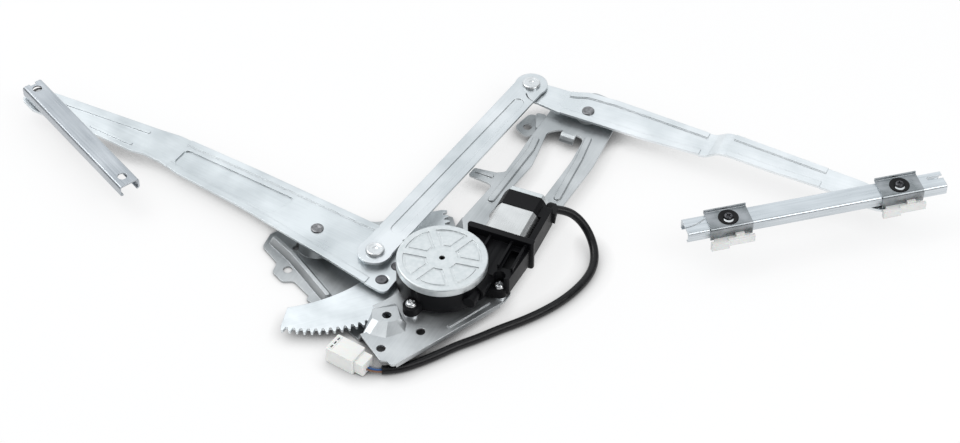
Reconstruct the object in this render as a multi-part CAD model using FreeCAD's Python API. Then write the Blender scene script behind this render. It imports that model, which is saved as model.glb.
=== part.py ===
import FreeCAD, Part
import math
import os

# Window regulator with two lift arms, a crossed link bar and a worm gear motor.
# Millimetres, +Z up, lying flat with the base plate down.
# The origin is the wing hole of the base plate at floor level.

# Pivots of the linkage
LEFT_PIVOT = (21.5, 28.4)
PIVOT_SPACING = 244.6
PIVOT_LINE_ANGLE = 31.6
CRANK_RADIUS = 53.0

# Sheets and levels
BASE_SHEET = 1.6
PANEL_FLOOR = 11.5
ARM_SHEET = 2.0
BORDER_WIDTH = 5.5
BORDER_RISE = 0.8
LEFT_ARM_FLOOR = 14.6
RIGHT_ARM_FLOOR = 17.2
LINK_SHEET = 1.8
LINK_FLOOR = 20.3
RUNNING_GAP = 0.3
AXIAL_GAP = 0.1
PIN_CLEARANCE = 0.05

# Base plate
WING_HOLE_RADIUS = 3.6
FIX_HOLE_RADIUS = 3.4
RIDGE_WIDTH = 9.0
RIDGE_HEIGHT = 5.6
SLOT_INNER_RADIUS = 86.0
PANEL_INNER_RADIUS = 88.0
SLOPE_LOW_RADIUS = 104.5
SLOPE_RUN = 6.5
FRONT_SLOPE = (-71.0, -60.0)
REAR_SLOPE = (0.0, 8.0)
LEFT_BOSS_RADIUS = 13.0
LEFT_BOSS_HEIGHT = 14.4
RIGHT_BOSS_RADIUS = 8.3
PAD_HOLE = (76.4, -60.7)
PAD_HEIGHT = 3.8
PAD_TOP_CORNERS = ((65.4, -54.5), (84.0, -51.3), (86.6, -64.0), (82.5, -66.6), (77.4, -67.5),
                   (70.5, -66.4), (65.7, -64.0))
PAD_FOOT_CORNERS = ((65.7, -49.8), (80.6, -43.6), (92.3, -67.6), (92.8, -77.0), (75.5, -85.1),
                    (61.5, -80.5), (58.6, -75.5))
FRONT_LIP_DEPTH = 2.5
OPENING_TAB_ANGLE = -26.6
PANEL_HOLES = ((101.2, -73.5), (72.8, -90.0))
EAR_HOLE = (181.9, 150.8)
EAR_FLOOR = 6.0

# Sector gear and output pinion
MODULE = 1.75
SECTOR_TEETH = 114
PINION_TEETH = 11
PRESSURE_ANGLE = 20.0
PROFILE_SHIFT = 0.4
BACKLASH = 0.16
PINION_ANGLE = -29.7
SECTOR_FIRST_TOOTH = -23
SECTOR_LAST_TOOTH = 14
SECTOR_SHEET = 2.5
SECTOR_FLOOR = 8.0
SECTOR_HORN_RADIUS = 78.0
SECTOR_WAIST_RADIUS = 60.0
SECTOR_RIVET_RADIUS = 73.0
SECTOR_RIVET_ANGLES = (-14.0, 0.0, 14.0)
PINION_WIDTH = 3.6

# Rivets
PIVOT_SHANK_RADIUS = 3.6
PIVOT_HEAD_RADIUS = 4.9
PIVOT_HEAD_HEIGHT = 1.0
LINK_SHANK_RADIUS = 4.5
LINK_HEAD_RADIUS = 7.2
LINK_SPACER_RADIUS = 10.5
LINK_HEAD_HEIGHT = 2.4

# Lift arms, in each arm's own plan: along from its pivot, and across
RIGHT_ARM_ANGLE = -24.5
LEFT_ROLLER = (266.2, 3.0)
RIGHT_ROLLER = (241.9, -8.3)
RIGHT_JOG = ((98.0, 0.0), (101.0, 0.5), (104.0, 1.6), (111.0, 6.4), (114.0, 7.5), (117.0, 8.0))
RIGHT_JOG_RISE = RIGHT_JOG[-1][1]
LEFT_JOG = ((142.0, 0.0), (146.0, 0.2), (162.0, 1.2), (166.0, 1.4))
LEFT_JOG_RISE = LEFT_JOG[-1][1]

# Rollers and glass rails
ROLLER_RADIUS = 7.0
ROLLER_NECK_RADIUS = 4.0
ROLLER_PIN_RADIUS = 2.5
RAIL_SHEET = 1.2
RAIL_WIDTH = 17.4
RAIL_HEIGHT = 9.4
RAIL_LIP = 3.0
RAIL_RISE = 1.2
LEFT_RAIL_LENGTH = 144.3
LEFT_RAIL_ANGLE = -52.2
LEFT_RAIL_ROLLER_AT = 12.0
LEFT_RAIL_HOLES = (8.1, 134.5)
RIGHT_RAIL_LENGTH = 205.6
RIGHT_RAIL_ANGLE = 14.65
RIGHT_RAIL_ROLLER_AT = 155.0
RAIL_HOLE_RADIUS = 3.7

# Glass clips on the right rail
CLIP_CENTRES = (33.9, RIGHT_RAIL_LENGTH - 35.7)
CLIP_LENGTH = 33.0
CLIP_SHEET = 1.2
CLIP_HOLE_RADIUS = 7.4
CLIP_STUD_RADIUS = 3.6
PAD_DROP = 6.0
PAD_DEPTH = 3.2
PAD_STANDOFF = 2.6
HOOK_LENGTH = 6.8

# Gear motor
SCREW_OFFSETS = ((-22.4, -30.1), (42.0, -11.5), (5.0, 43.0))
SCREW_RADIUS = 2.5
SCREW_HEAD_RADIUS = 4.2
SCREW_HEAD_HEIGHT = 2.6
SPACER_RADIUS = 5.2
SPACER_HEIGHT = 3.0
EAR_BOSS_RADIUS = 6.3
EAR_BOSS_TOP = 23.0
POT_RADIUS = 34.0
POT_FLOOR = 18.4
POT_TOP = 35.0
POT_WALL = 2.6
COVER_TOP = 41.0
COVER_SHEET = 1.4
NECK_RADIUS = 17.0
SHAFT_RADIUS = 6.0
WHEEL_TEETH = 54
WHEEL_MODULE = 0.95
WHEEL_FLOOR = 22.7
WHEEL_WIDTH = 10.0
WORM_OFFSET = 31.0
WORM_AXIS_Z = 27.7
WORM_RADIUS = 3.6
MOTOR_ANGLE = 67.0
WORM_TUBE_RADIUS = 5.2
WORM_TUBE_END = 23.0
FLANGE_AT = 38.0
FLANGE_THICKNESS = 5.0
FLANGE_WIDTH = 53.0
FLANGE_SHIFT = 1.1
CAN_WIDTH = 37.0
CAN_HEIGHT = 27.0
CAN_LENGTH = 27.0
BAND_LENGTH = 15.5
CAP_LENGTH = 6.0
CAN_WALL = 1.6
CORE_RADIUS = 9.0
CORE_LENGTH = 19.0
STRAP_INNER = 18.8
STRAP_OUTER = 23.5
STRAP_LOW = -7.0
STRAP_HIGH = 10.0
STRAP_SETBACK = 3.5

# Motor lead: sheath, wires and plug
CABLE_DIAMETER = 6.6
CABLE_ROUTE = (
    (201.0, 38.4, 27.2), (209.6, 39.3, 24.8), (217.8, 37.4, 20.0),
    (224.6, 31.6, 14.2), (229.0, 23.2, 8.8), (230.8, 13.2, 5.2),
    (229.6, 1.8, 3.7), (225.0, -9.8, 3.5), (216.2, -22.4, 3.5), (204.5, -34.5, 3.5),
    (190.0, -45.5, 3.5), (175.0, -54.5, 3.5), (158.5, -62.5, 3.5),
    (143.0, -71.5, 3.5), (127.0, -79.0, 3.5), (112.0, -88.5, 3.5),
    (97.5, -96.2, 3.5), (84.5, -101.6, 3.5), (73.5, -103.2, 4.5),
)
WIRE_DIAMETER = 1.5
WIRE_SPACING = 1.75
PLUG_CENTRE = (47.0, -90.3)
PLUG_ANGLE = -34.0
PLUG_LENGTH = 24.0
PLUG_WIDTH = 16.5
PLUG_HEIGHT = 14.0
PLUG_REAR_LENGTH = 8.0

MESH_DISTANCE = MODULE * (SECTOR_TEETH + PINION_TEETH) / 2
HALF_CROSSING = math.degrees(math.asin(2 * CRANK_RADIUS / PIVOT_SPACING))
LINK_ANGLE = PIVOT_LINE_ANGLE + HALF_CROSSING
LINK_LENGTH = PIVOT_SPACING * math.cos(math.radians(HALF_CROSSING))
LEFT_ARM_ANGLE = LINK_ANGLE + 90
SLOPE_HIGH_RADIUS = SLOPE_LOW_RADIUS + SLOPE_RUN
PANEL_TOP = PANEL_FLOOR + BASE_SHEET
LEFT_ARM_TOP = LEFT_ARM_FLOOR + ARM_SHEET
RIGHT_ARM_TOP = RIGHT_ARM_FLOOR + ARM_SHEET
LINK_TOP = LINK_FLOOR + LINK_SHEET


def vec(x, y, z=0.0):
    return FreeCAD.Vector(x, y, z)


def polar(centre, radius, angle):
    """The point at a radius and an angle in degrees from a centre."""
    turn = math.radians(angle)
    return (centre[0] + radius * math.cos(turn), centre[1] + radius * math.sin(turn))


RIGHT_PIVOT = polar(LEFT_PIVOT, PIVOT_SPACING, PIVOT_LINE_ANGLE)
LINK_LOWER = polar(LEFT_PIVOT, CRANK_RADIUS, LINK_ANGLE - 90)
LINK_UPPER = polar(RIGHT_PIVOT, CRANK_RADIUS, LINK_ANGLE + 90)
PINION_CENTRE = polar(LEFT_PIVOT, MESH_DISTANCE, PINION_ANGLE)


def placed(shape, origin, angle, z=0.0):
    """A shape turned about Z and moved to its place."""
    moved = shape.copy()
    moved.rotate(vec(0, 0), vec(0, 0, 1), angle)
    moved.translate(vec(origin[0], origin[1], z))
    return moved


def local_to_frame(point, origin, angle):
    """A point of a piece's own plan, in the frame."""
    turn = math.radians(angle)
    x = origin[0] + point[0] * math.cos(turn) - point[1] * math.sin(turn)
    y = origin[1] + point[0] * math.sin(turn) + point[1] * math.cos(turn)
    return (x, y)


def outline(corners, z=0.0):
    """A closed wire through corners (x, y) or (x, y, radius of its round)."""
    starts = []
    ends = []
    arcs = []
    count = len(corners)
    for i, corner in enumerate(corners):
        here = vec(corner[0], corner[1], z)
        radius = corner[2] if len(corner) > 2 else 0.0
        if radius == 0.0:
            starts.append(here)
            ends.append(here)
            arcs.append(None)
            continue
        back = vec(*corners[i - 1][:2], z) - here
        ahead = vec(*corners[(i + 1) % count][:2], z) - here
        back.normalize()
        ahead.normalize()
        half = back.getAngle(ahead) / 2
        reach = radius / math.tan(half)
        middle = (back + ahead).normalize() * (radius / math.sin(half) - radius)
        starts.append(here + back * reach)
        ends.append(here + ahead * reach)
        arcs.append(here + middle)
    edges = []
    for i in range(count):
        if arcs[i] is not None:
            edges.append(Part.Arc(starts[i], arcs[i], ends[i]).toShape())
        nxt = starts[(i + 1) % count]
        if (nxt - ends[i]).Length > 1e-4:
            edges.append(Part.LineSegment(ends[i], nxt).toShape())
    return Part.Wire(edges)


def plate(corners, z, thickness):
    return Part.Face(outline(corners, z)).extrude(vec(0, 0, thickness))


def post(centre, radius, low, high):
    return Part.makeCylinder(radius, high - low, vec(centre[0], centre[1], low))


def taper(centre, low_radius, high_radius, low, high):
    return Part.makeCone(low_radius, high_radius, high - low, vec(centre[0], centre[1], low))


def box(low, high):
    size = [b - a for a, b in zip(low, high)]
    return Part.makeBox(*size, vec(*low))


def capsule(start, end, width, z):
    """A slot-shaped wire round the line from start to end."""
    a = vec(start[0], start[1], z)
    b = vec(end[0], end[1], z)
    along = (b - a).normalize()
    side = vec(-along.y, along.x) * (width / 2)
    tip = along * (width / 2)
    edges = [
        Part.LineSegment(a + side, b + side).toShape(),
        Part.Arc(b + side, b + tip, b - side).toShape(),
        Part.LineSegment(b - side, a - side).toShape(),
        Part.Arc(a - side, a - tip, a + side).toShape(),
    ]
    return Part.Wire(edges)


def bead(start, end, width, height, z):
    """A tapered rib from z upwards, or downwards where height is negative."""
    crown = width - 1.1 * abs(height)
    wires = [capsule(start, end, width, z), capsule(start, end, crown, z + height)]
    return Part.makeLoft(wires, True, True)


def press(sheet, start, end, width, height, floor, thickness):
    """A bead pressed into a sheet: proud on one face and hollow on the other."""
    near, far = (floor + thickness, floor) if height > 0 else (floor, floor + thickness)
    proud = bead(start, end, width, height, near)
    hollow = bead(start, end, width - 0.9 * thickness, height, far)
    return sheet.fuse(proud).cut(hollow)


def dome_rivet(centre, shank, head, low, high, head_height):
    """A rivet with a shank from low to high and a rounded head above it."""
    body = post(centre, shank, low, high)
    top = post(centre, head, high, high + head_height)
    edges = [e for e in top.Edges if abs(e.CenterOfMass.z - high - head_height) < 1e-6]
    return body.fuse(top.makeFillet(0.7 * head_height, edges)).removeSplitter()


def involute_angle(angle):
    return math.tan(angle) - angle


def flank(teeth, shift, radius, backlash, module=MODULE):
    """Half the angle of a tooth at a radius, in degrees."""
    pitch = module * teeth / 2
    pressure = math.radians(PRESSURE_ANGLE)
    base = pitch * math.cos(pressure)
    thick = module * (math.pi / 2 + 2 * shift * math.tan(pressure)) - backlash
    half = thick / (2 * pitch) + involute_angle(pressure)
    half -= involute_angle(math.acos(min(1.0, base / max(radius, base))))
    return math.degrees(half)


def tooth_points(centre, teeth, shift, root, tip, angle, steps, module=MODULE):
    """Points round one tooth, from its clockwise root to the other."""
    points = []
    radii = [root + (tip - root) * i / steps for i in range(steps + 1)]
    for radius in radii:
        half = flank(teeth, shift, radius, BACKLASH, module)
        points.append(polar(centre, radius, angle - half))
    for radius in reversed(radii):
        half = flank(teeth, shift, radius, BACKLASH, module)
        points.append(polar(centre, radius, angle + half))
    return points


def base_floor():
    """The low level of the base plate, from the wing to the lanced slot."""
    corners = [
        (-15.1, 38.0, 4), (-20.5, 24.0, 5), (-8.5, 7.0, 5), (-11.5, -2.5, 4),
        (-3.6, -12.5, 4), (5.0, -12.0, 4), (17.0, -27.0, 2), (15.5, -31.0, 1.5),
        (21.0, -35.5, 2),
    ]
    rim = [polar(LEFT_PIVOT, SLOPE_LOW_RADIUS + 1.0, a) for a in (*FRONT_SLOPE[:1], -65.5, FRONT_SLOPE[1])]
    slot = [polar(LEFT_PIVOT, SLOT_INNER_RADIUS, a) for a in range(-60, 1, 4)]
    back = [polar(LEFT_PIVOT, SLOPE_LOW_RADIUS + 1.0, a) for a in (0, 8, 15)]
    closing = [(104.0, 62.0, 6), (66.0, 50.0, 20), (20.0, 58.0, 14)]
    return plate(corners + rim + slot + back + closing, 0.0, BASE_SHEET)


def slope_band(angles):
    """A conical band that joins the low level to the panel."""
    low = SLOPE_LOW_RADIUS
    high = SLOPE_HIGH_RADIUS
    profile = [(low, 0.0), (high, PANEL_FLOOR), (high + 1.2, PANEL_FLOOR),
               (high + 1.2, PANEL_TOP), (high - 0.8, PANEL_TOP), (low - 0.8, BASE_SHEET)]
    points = [vec(r, 0, z) for r, z in profile]
    face = Part.Face(Part.makePolygon(points + points[:1]))
    band = face.revolve(vec(0, 0), vec(0, 0, 1), angles[1] - angles[0])
    return placed(band, LEFT_PIVOT, angles[0])


def base_panel():
    """The raised panel that carries the motor, with the frame up to the right pivot."""
    inner = [polar(LEFT_PIVOT, PANEL_INNER_RADIUS, a) for a in range(0, -61, -4)]
    left = [polar(LEFT_PIVOT, SLOPE_HIGH_RADIUS, a) for a in (-60, -65.5, -71)]
    front = [(64.0, -88.0, 4), (72.1, -101.5, 2), (77.5, -102.5, 1), (81.2, -107.4, 3),
             (163.0, -43.0, 6), (167.0, -36.0, 4), (166.0, -27.0, 6)]
    right = [(188.0, 19.2, 30), (209.7, 60.2, 20), (231.9, 99.4, 20), (249.0, 140.3, 10),
             (263.0, 168.0, 8), (236.0, 186.0, 10), (212.0, 176.0, 10)]
    frame = [(200.9, 165.2, 8), (181.4, 128.5, 12), (175.8, 116.5, 6), (164.0, 94.0, 3),
             (157.0, 93.0, 2), (140.0, 98.5, 2), (135.0, 90.5, 2), (154.0, 79.5, 4)]
    top = [polar(LEFT_PIVOT, SLOPE_HIGH_RADIUS, a) for a in (8, 0)]
    corners = inner + left + front + right + frame + top
    return plate(corners, PANEL_FLOOR, BASE_SHEET)


def frame_opening():
    corners = [(149.6, 44.0, 6), (170.1, 78.8, 14), (184.5, 100.9, 20), (190.3, 117.5, 10),
               (197.4, 139.5, 8), (209.0, 142.0, 8), (226.0, 131.5, 6), (215.5, 106.1, 20),
               (208.0, 92.0, 20), (186.0, 52.0, 14), (172.0, 24.0, 14)]
    return plate(corners, PANEL_FLOOR - 1, BASE_SHEET + 2)


def drawn_in(points, centre, amount):
    """The points, each moved towards a centre."""
    moved = []
    for x, y in points:
        away = math.hypot(x - centre[0], y - centre[1])
        keep = 1 - amount / away
        moved.append((centre[0] + (x - centre[0]) * keep, centre[1] + (y - centre[1]) * keep))
    return moved


def pad_block(inset, low, high):
    """The fan-shaped rise of the pad, drawn in all round by an inset."""
    wires = [outline(drawn_in(PAD_FOOT_CORNERS, PAD_HOLE, inset), low),
             outline(drawn_in(PAD_TOP_CORNERS, PAD_HOLE, inset), high)]
    return Part.makeLoft(wires, True, True)


def front_lip():
    """The down-turned lip under the panel's straight front edge."""
    start = vec(84.34, -104.93, PANEL_FLOOR - FRONT_LIP_DEPTH)
    end = vec(159.07, -46.09, PANEL_FLOOR - FRONT_LIP_DEPTH)
    along = (end - start).normalize()
    inward = vec(-along.y, along.x) * BASE_SHEET
    corners = [start, end, end + inward, start + inward, start]
    return Part.Face(Part.makePolygon(corners)).extrude(vec(0, 0, FRONT_LIP_DEPTH + 0.5))


def opening_tab():
    """The tab that curls down from the far edge of the frame's opening."""
    top = PANEL_TOP
    upper = [(-1.5, 0.0), (1.5, -0.1), (4.2, -1.2), (6.2, -2.9), (7.4, -4.6)]
    lower = [(6.0, -5.3), (4.9, -3.9), (3.3, -2.6), (1.3, -1.6), (-1.5, -BASE_SHEET)]
    points = [vec(0, -u, top + z) for u, z in upper + lower]
    tab = Part.Face(Part.makePolygon(points + points[:1])).extrude(vec(12.0, 0, 0))
    return placed(tab, (209.3, 140.6), OPENING_TAB_ANGLE)


def base_plate():
    """One pressed sheet: wing, low floor, lanced slot, motor panel and frame."""
    floor = base_floor()
    panel = base_panel().cut(frame_opening())
    sheet = floor.fuse([panel, slope_band(FRONT_SLOPE), slope_band(REAR_SLOPE)])
    ridge = ((-11.0, 29.0), (4.0, 11.0), (31.0, -30.0))
    for start, end in zip(ridge, ridge[1:]):
        sheet = press(sheet, start, end, RIDGE_WIDTH, RIDGE_HEIGHT, 0.0, BASE_SHEET)
    right_ridge = ((229.0, 130.0), (221.0, 106.5), (213.4, 88.5), (203.5, 64.5))
    left_ridge = ((188.0, 130.0), (184.0, 118.5), (167.5, 89.0), (153.0, 63.0))
    for line in (right_ridge, left_ridge):
        for start, end in zip(line, line[1:]):
            sheet = press(sheet, start, end, 6.0, 1.4, PANEL_FLOOR, BASE_SHEET)
    for start, end in (((122.0, -68.0), (150.0, -45.0)), ((141.5, 94.6), (153.0, 89.0))):
        sheet = press(sheet, start, end, 4.0, 0.9, PANEL_FLOOR, BASE_SHEET)
    sheet = sheet.fuse(pivot_boss(LEFT_PIVOT, LEFT_BOSS_RADIUS, 0.0, LEFT_BOSS_HEIGHT))
    right_top = RIGHT_ARM_FLOOR - AXIAL_GAP
    sheet = sheet.fuse(pivot_boss(RIGHT_PIVOT, RIGHT_BOSS_RADIUS, PANEL_FLOOR, right_top))
    sheet = sheet.fuse(pad_block(0.0, PANEL_FLOOR, PANEL_TOP + PAD_HEIGHT))
    sheet = sheet.cut(pad_block(BASE_SHEET, PANEL_FLOOR - 0.01, PANEL_TOP + PAD_HEIGHT - BASE_SHEET))
    sheet = sheet.fuse([front_lip(), opening_tab()])
    cuts = [post(LEFT_PIVOT, PIVOT_SHANK_RADIUS, -1, 30),
            post(RIGHT_PIVOT, PIVOT_SHANK_RADIUS, 0, 30),
            post((0.0, 0.0), WING_HOLE_RADIUS, -1, 5),
            post((5.1, 22.5), 2.6, -1, 12),
            post(PAD_HOLE, FIX_HOLE_RADIUS, 5, 30),
            post(PINION_CENTRE, NECK_RADIUS - 4.0, 5, 20)]
    cuts += [post(hole, FIX_HOLE_RADIUS, 5, 20) for hole in PANEL_HOLES]
    cuts += [post(point, SCREW_RADIUS + 0.3, 5, 20) for point in screw_points()]
    return sheet.cut(cuts).removeSplitter()


def pivot_boss(centre, radius, floor, top):
    """A pressed boss with sloping walls, hollow from below."""
    outer = taper(centre, radius + 0.35 * (top - floor), radius - 2.0, floor, top)
    low = radius + 0.35 * (top - floor) - BASE_SHEET
    inner = taper(centre, low, radius - 2.0 - BASE_SHEET, floor - 0.01, top - BASE_SHEET)
    return outer.cut(inner)


def screw_points():
    return [(PINION_CENTRE[0] + x, PINION_CENTRE[1] + y) for x, y in SCREW_OFFSETS]


def ear_bracket():
    """The riveted ear beside the frame's left rail."""
    ear = plate([(171.5, 151.0, 5), (184.0, 166.5, 5), (197.0, 161.0, 2), (196.0, 150.0, 2),
                 (181.0, 138.5, 5)], EAR_FLOOR, BASE_SHEET)
    step = plate([(189.0, 163.5, 2), (197.0, 161.0, 2), (193.5, 147.5, 2), (188.0, 144.0, 2)],
                 EAR_FLOOR, PANEL_FLOOR - EAR_FLOOR - 0.02)
    ear = ear.fuse(step)
    return ear.cut(post(EAR_HOLE, FIX_HOLE_RADIUS, 0, 20)).removeSplitter()


def sector_gear():
    """The toothed sector, concentric with the left pivot."""
    pitch = MODULE * SECTOR_TEETH / 2
    tip = pitch + MODULE * (1 - PROFILE_SHIFT)
    root = pitch - MODULE * (1.25 + PROFILE_SHIFT)
    step = 360.0 / SECTOR_TEETH
    points = []
    for tooth in range(SECTOR_FIRST_TOOTH, SECTOR_LAST_TOOTH + 1):
        angle = PINION_ANGLE + tooth * step
        points += tooth_points(LEFT_PIVOT, SECTOR_TEETH, -PROFILE_SHIFT, root, tip, angle, 2)
    points = [vec(x, y, SECTOR_FLOOR) for x, y in points]
    first = PINION_ANGLE + (SECTOR_FIRST_TOOTH - 0.5) * step
    last = PINION_ANGLE + (SECTOR_LAST_TOOTH + 0.5) * step
    middle = (first + last) / 2
    horn_a = vec(*polar(LEFT_PIVOT, SECTOR_HORN_RADIUS, first), SECTOR_FLOOR)
    horn_b = vec(*polar(LEFT_PIVOT, SECTOR_HORN_RADIUS, last), SECTOR_FLOOR)
    waist = vec(*polar(LEFT_PIVOT, SECTOR_WAIST_RADIUS, middle), SECTOR_FLOOR)
    edges = [Part.LineSegment(a, b).toShape() for a, b in zip(points, points[1:])]
    edges.append(Part.LineSegment(points[-1], horn_b).toShape())
    edges.append(Part.Arc(horn_b, waist, horn_a).toShape())
    edges.append(Part.LineSegment(horn_a, points[0]).toShape())
    gear = Part.Face(Part.Wire(edges)).extrude(vec(0, 0, SECTOR_SHEET))
    holes = [post(p, 3.0, 0, 20) for p in sector_rivet_points()]
    return gear.cut(holes)


def sector_rivet_points():
    line = LINK_ANGLE - 90
    return [polar(LEFT_PIVOT, SECTOR_RIVET_RADIUS, line + a) for a in SECTOR_RIVET_ANGLES]


def sector_rivets():
    """Shouldered rivets that hold the sector under the arm's tail."""
    rivets = []
    top = LEFT_ARM_TOP
    for point in sector_rivet_points():
        parts = [post(point, 3.0, SECTOR_FLOOR, top),
                 post(point, 4.4, SECTOR_FLOOR + SECTOR_SHEET, LEFT_ARM_FLOOR),
                 taper(point, 3.6, 4.6, SECTOR_FLOOR - 1.0, SECTOR_FLOOR),
                 taper(point, 4.8, 3.8, top, top + 0.8)]
        rivets.append(parts[0].fuse(parts[1:]).removeSplitter())
    return Part.makeCompound(rivets)


def gear_disc(centre, teeth, shift, root, tip, z, width, steps, phase, module=MODULE):
    points = []
    for tooth in range(teeth):
        angle = phase + tooth * 360.0 / teeth
        points += tooth_points(centre, teeth, shift, root, tip, angle, steps, module)
    points = [vec(x, y, z) for x, y in points]
    return Part.Face(Part.makePolygon(points + points[:1])).extrude(vec(0, 0, width))


def output_pinion():
    """The pinion and its shaft, up into the worm wheel."""
    pitch = MODULE * PINION_TEETH / 2
    tip = pitch + MODULE * (1 + PROFILE_SHIFT) - 0.2
    root = pitch - MODULE * (1.25 - PROFILE_SHIFT)
    phase = PINION_ANGLE + 180 + 180.0 / PINION_TEETH
    low = SECTOR_FLOOR - 0.5
    gear = gear_disc(PINION_CENTRE, PINION_TEETH, PROFILE_SHIFT, root, tip, low,
                     PINION_WIDTH, 4, phase)
    top = WHEEL_FLOOR + WHEEL_WIDTH + 2.0
    shaft = post(PINION_CENTRE, SHAFT_RADIUS, low + PINION_WIDTH, top)
    return gear.fuse(shaft).removeSplitter()


def worm_wheel():
    """The moulded worm wheel with its hub and web."""
    pitch = WHEEL_MODULE * WHEEL_TEETH / 2
    rim = gear_disc(PINION_CENTRE, WHEEL_TEETH, 0.0, pitch - 1.2, pitch + 1.0, WHEEL_FLOOR,
                    WHEEL_WIDTH, 1, 0.0, WHEEL_MODULE)
    pocket = post(PINION_CENTRE, pitch - 4.5, WHEEL_FLOOR + 3, WHEEL_FLOOR + WHEEL_WIDTH + 1)
    hub = post(PINION_CENTRE, SHAFT_RADIUS + 3.5, WHEEL_FLOOR + 3, WHEEL_FLOOR + WHEEL_WIDTH)
    bore = post(PINION_CENTRE, SHAFT_RADIUS, WHEEL_FLOOR - 1, WHEEL_FLOOR + WHEEL_WIDTH + 1)
    return rim.cut(pocket).fuse(hub).cut(bore)


def damper_ring():
    """The rubber ring between the wheel's hub and rim."""
    pitch = WHEEL_MODULE * WHEEL_TEETH / 2
    low = WHEEL_FLOOR + 3.0
    ring = post(PINION_CENTRE, pitch - 4.8, low, low + 5.0)
    return ring.cut(post(PINION_CENTRE, SHAFT_RADIUS + 3.8, low - 1, low + 6))


def left_arm_outline():
    return [(-78.5, -26.8, 5), (-38.0, -27.4, 30), (72.0, -27.2, 60), (148.0, -25.6, 30),
            (165.0, -22.0, 30), (262.0, -10.6, 30), (279.0, -6.5, 5), (282.0, 9.0, 5),
            (266.0, 14.6, 8), (201.7, 9.6, 60), (172.0, 9.6, 30), (160.0, 6.6, 20),
            (145.0, 6.2, 20), (127.0, 9.8, 40), (63.0, 12.9, 60), (-26.6, 22.6, 60),
            (-63.1, 27.3, 40), (-81.0, 28.6, 5)]


def right_arm_outline():
    return [(-59.0, 14.0, 9), (-38.0, 15.4, 12), (-18.0, 15.7, 10), (-7.0, 19.9, 12),
            (19.0, 20.5, 20), (97.0, 15.6, 60), (125.0, 13.8, 60), (222.0, 5.9, 40),
            (252.0, 1.5, 9), (253.0, -18.0, 9), (236.0, -19.3, 20), (204.0, -14.3, 40),
            (152.0, -13.0, 60), (110.0, -10.0, 60), (50.0, -12.2, 60), (18.0, -11.4, 30), (-20.0, -10.9, 15),
            (-41.0, -7.4, 12), (-57.0, -8.0, 9)]


def side_profile(levels, floor, thickness, half_width):
    """A strip whose height follows (along, rise) levels, across both sides."""
    upper = [vec(s, -half_width, floor + rise + thickness) for s, rise in levels]
    lower = [vec(s, -half_width, floor + rise) for s, rise in reversed(levels)]
    points = upper + lower
    face = Part.Face(Part.makePolygon(points + points[:1]))
    return face.extrude(vec(0, 2 * half_width, 0))


def pressed_arm(corners, levels, floor):
    """An arm of one flat sheet whose height follows levels."""
    reach = ((-100.0, levels[0][1]),) + levels + ((300.0, levels[-1][1]),)
    plan = Part.Face(outline(corners, 0.0)).extrude(vec(0, 0, 80.0))
    return plan.common(side_profile(reach, floor, ARM_SHEET, 60.0))


def raised_border(arm, corners, start, end, floor, rise):
    """Presses the arm's edges up between two places along it, in two small steps."""
    plan = Part.Face(outline(corners, 0.0))
    span = box((start, -60.0, 0.0), (end, 60.0, 80.0))
    for inset, height in ((BORDER_WIDTH + 0.9, rise / 2), (BORDER_WIDTH, rise)):
        middle = plan.makeOffset2D(-inset)
        ring = plan.cut(middle)
        top = ring.extrude(vec(0, 0, height))
        top.translate(vec(0, 0, floor + ARM_SHEET))
        arm = arm.fuse(top.common(span))
        low = ring.extrude(vec(0, 0, height))
        low.translate(vec(0, 0, floor))
        arm = arm.cut(low.common(span))
    return arm


def slit(points, width, low, high):
    """A narrow cutter of constant width along a line of points."""
    runs = [Part.Face(capsule(a, b, width, low)).extrude(vec(0, 0, high - low))
            for a, b in zip(points, points[1:])]
    return runs[0].fuse(runs[1:]) if len(runs) > 1 else runs[0]


def left_lift_arm():
    """The long arm with its tail over the sector."""
    arm = pressed_arm(left_arm_outline(), LEFT_JOG, LEFT_ARM_FLOOR)
    arm = raised_border(arm, left_arm_outline(), -62.0, 138.0, LEFT_ARM_FLOOR, BORDER_RISE)
    channel = [(32.3, -16.8, 3), (136.0, -16.0, 4), (136.0, 1.2, 4), (100.0, 3.2, 60),
               (63.0, 5.0, 60), (39.5, 6.0, 3)]
    depth = 1.0
    arm = arm.cut(plate(channel, LEFT_ARM_TOP - depth, ARM_SHEET))
    arm = arm.fuse(plate(channel, LEFT_ARM_FLOOR - depth, ARM_SHEET))
    dimple = (-72.0, 17.0)
    arm = arm.cut(taper(dimple, 2.4, 4.6, LEFT_ARM_TOP - 0.9, LEFT_ARM_TOP + 0.01))
    outer_floor = LEFT_ARM_FLOOR + LEFT_JOG_RISE
    for start, end in (((172.0, -14.5), (246.0, -5.5)), ((176.0, 3.5), (214.0, 4.0))):
        arm = press(arm, start, end, 3.6, 0.6, outer_floor, ARM_SHEET)
    cuts = [post((0, 0), PIVOT_SHANK_RADIUS + PIN_CLEARANCE, 0, 40),
            post((-CRANK_RADIUS, 0), LINK_SHANK_RADIUS, 0, 40),
            post(LEFT_ROLLER, ROLLER_PIN_RADIUS, 0, 40)]
    cuts += [placed(post((-SECTOR_RIVET_RADIUS, 0), 3.0, 0, 40), (0, 0), a)
             for a in SECTOR_RIVET_ANGLES]
    return placed(arm.cut(cuts).removeSplitter(), LEFT_PIVOT, LEFT_ARM_ANGLE)


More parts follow.
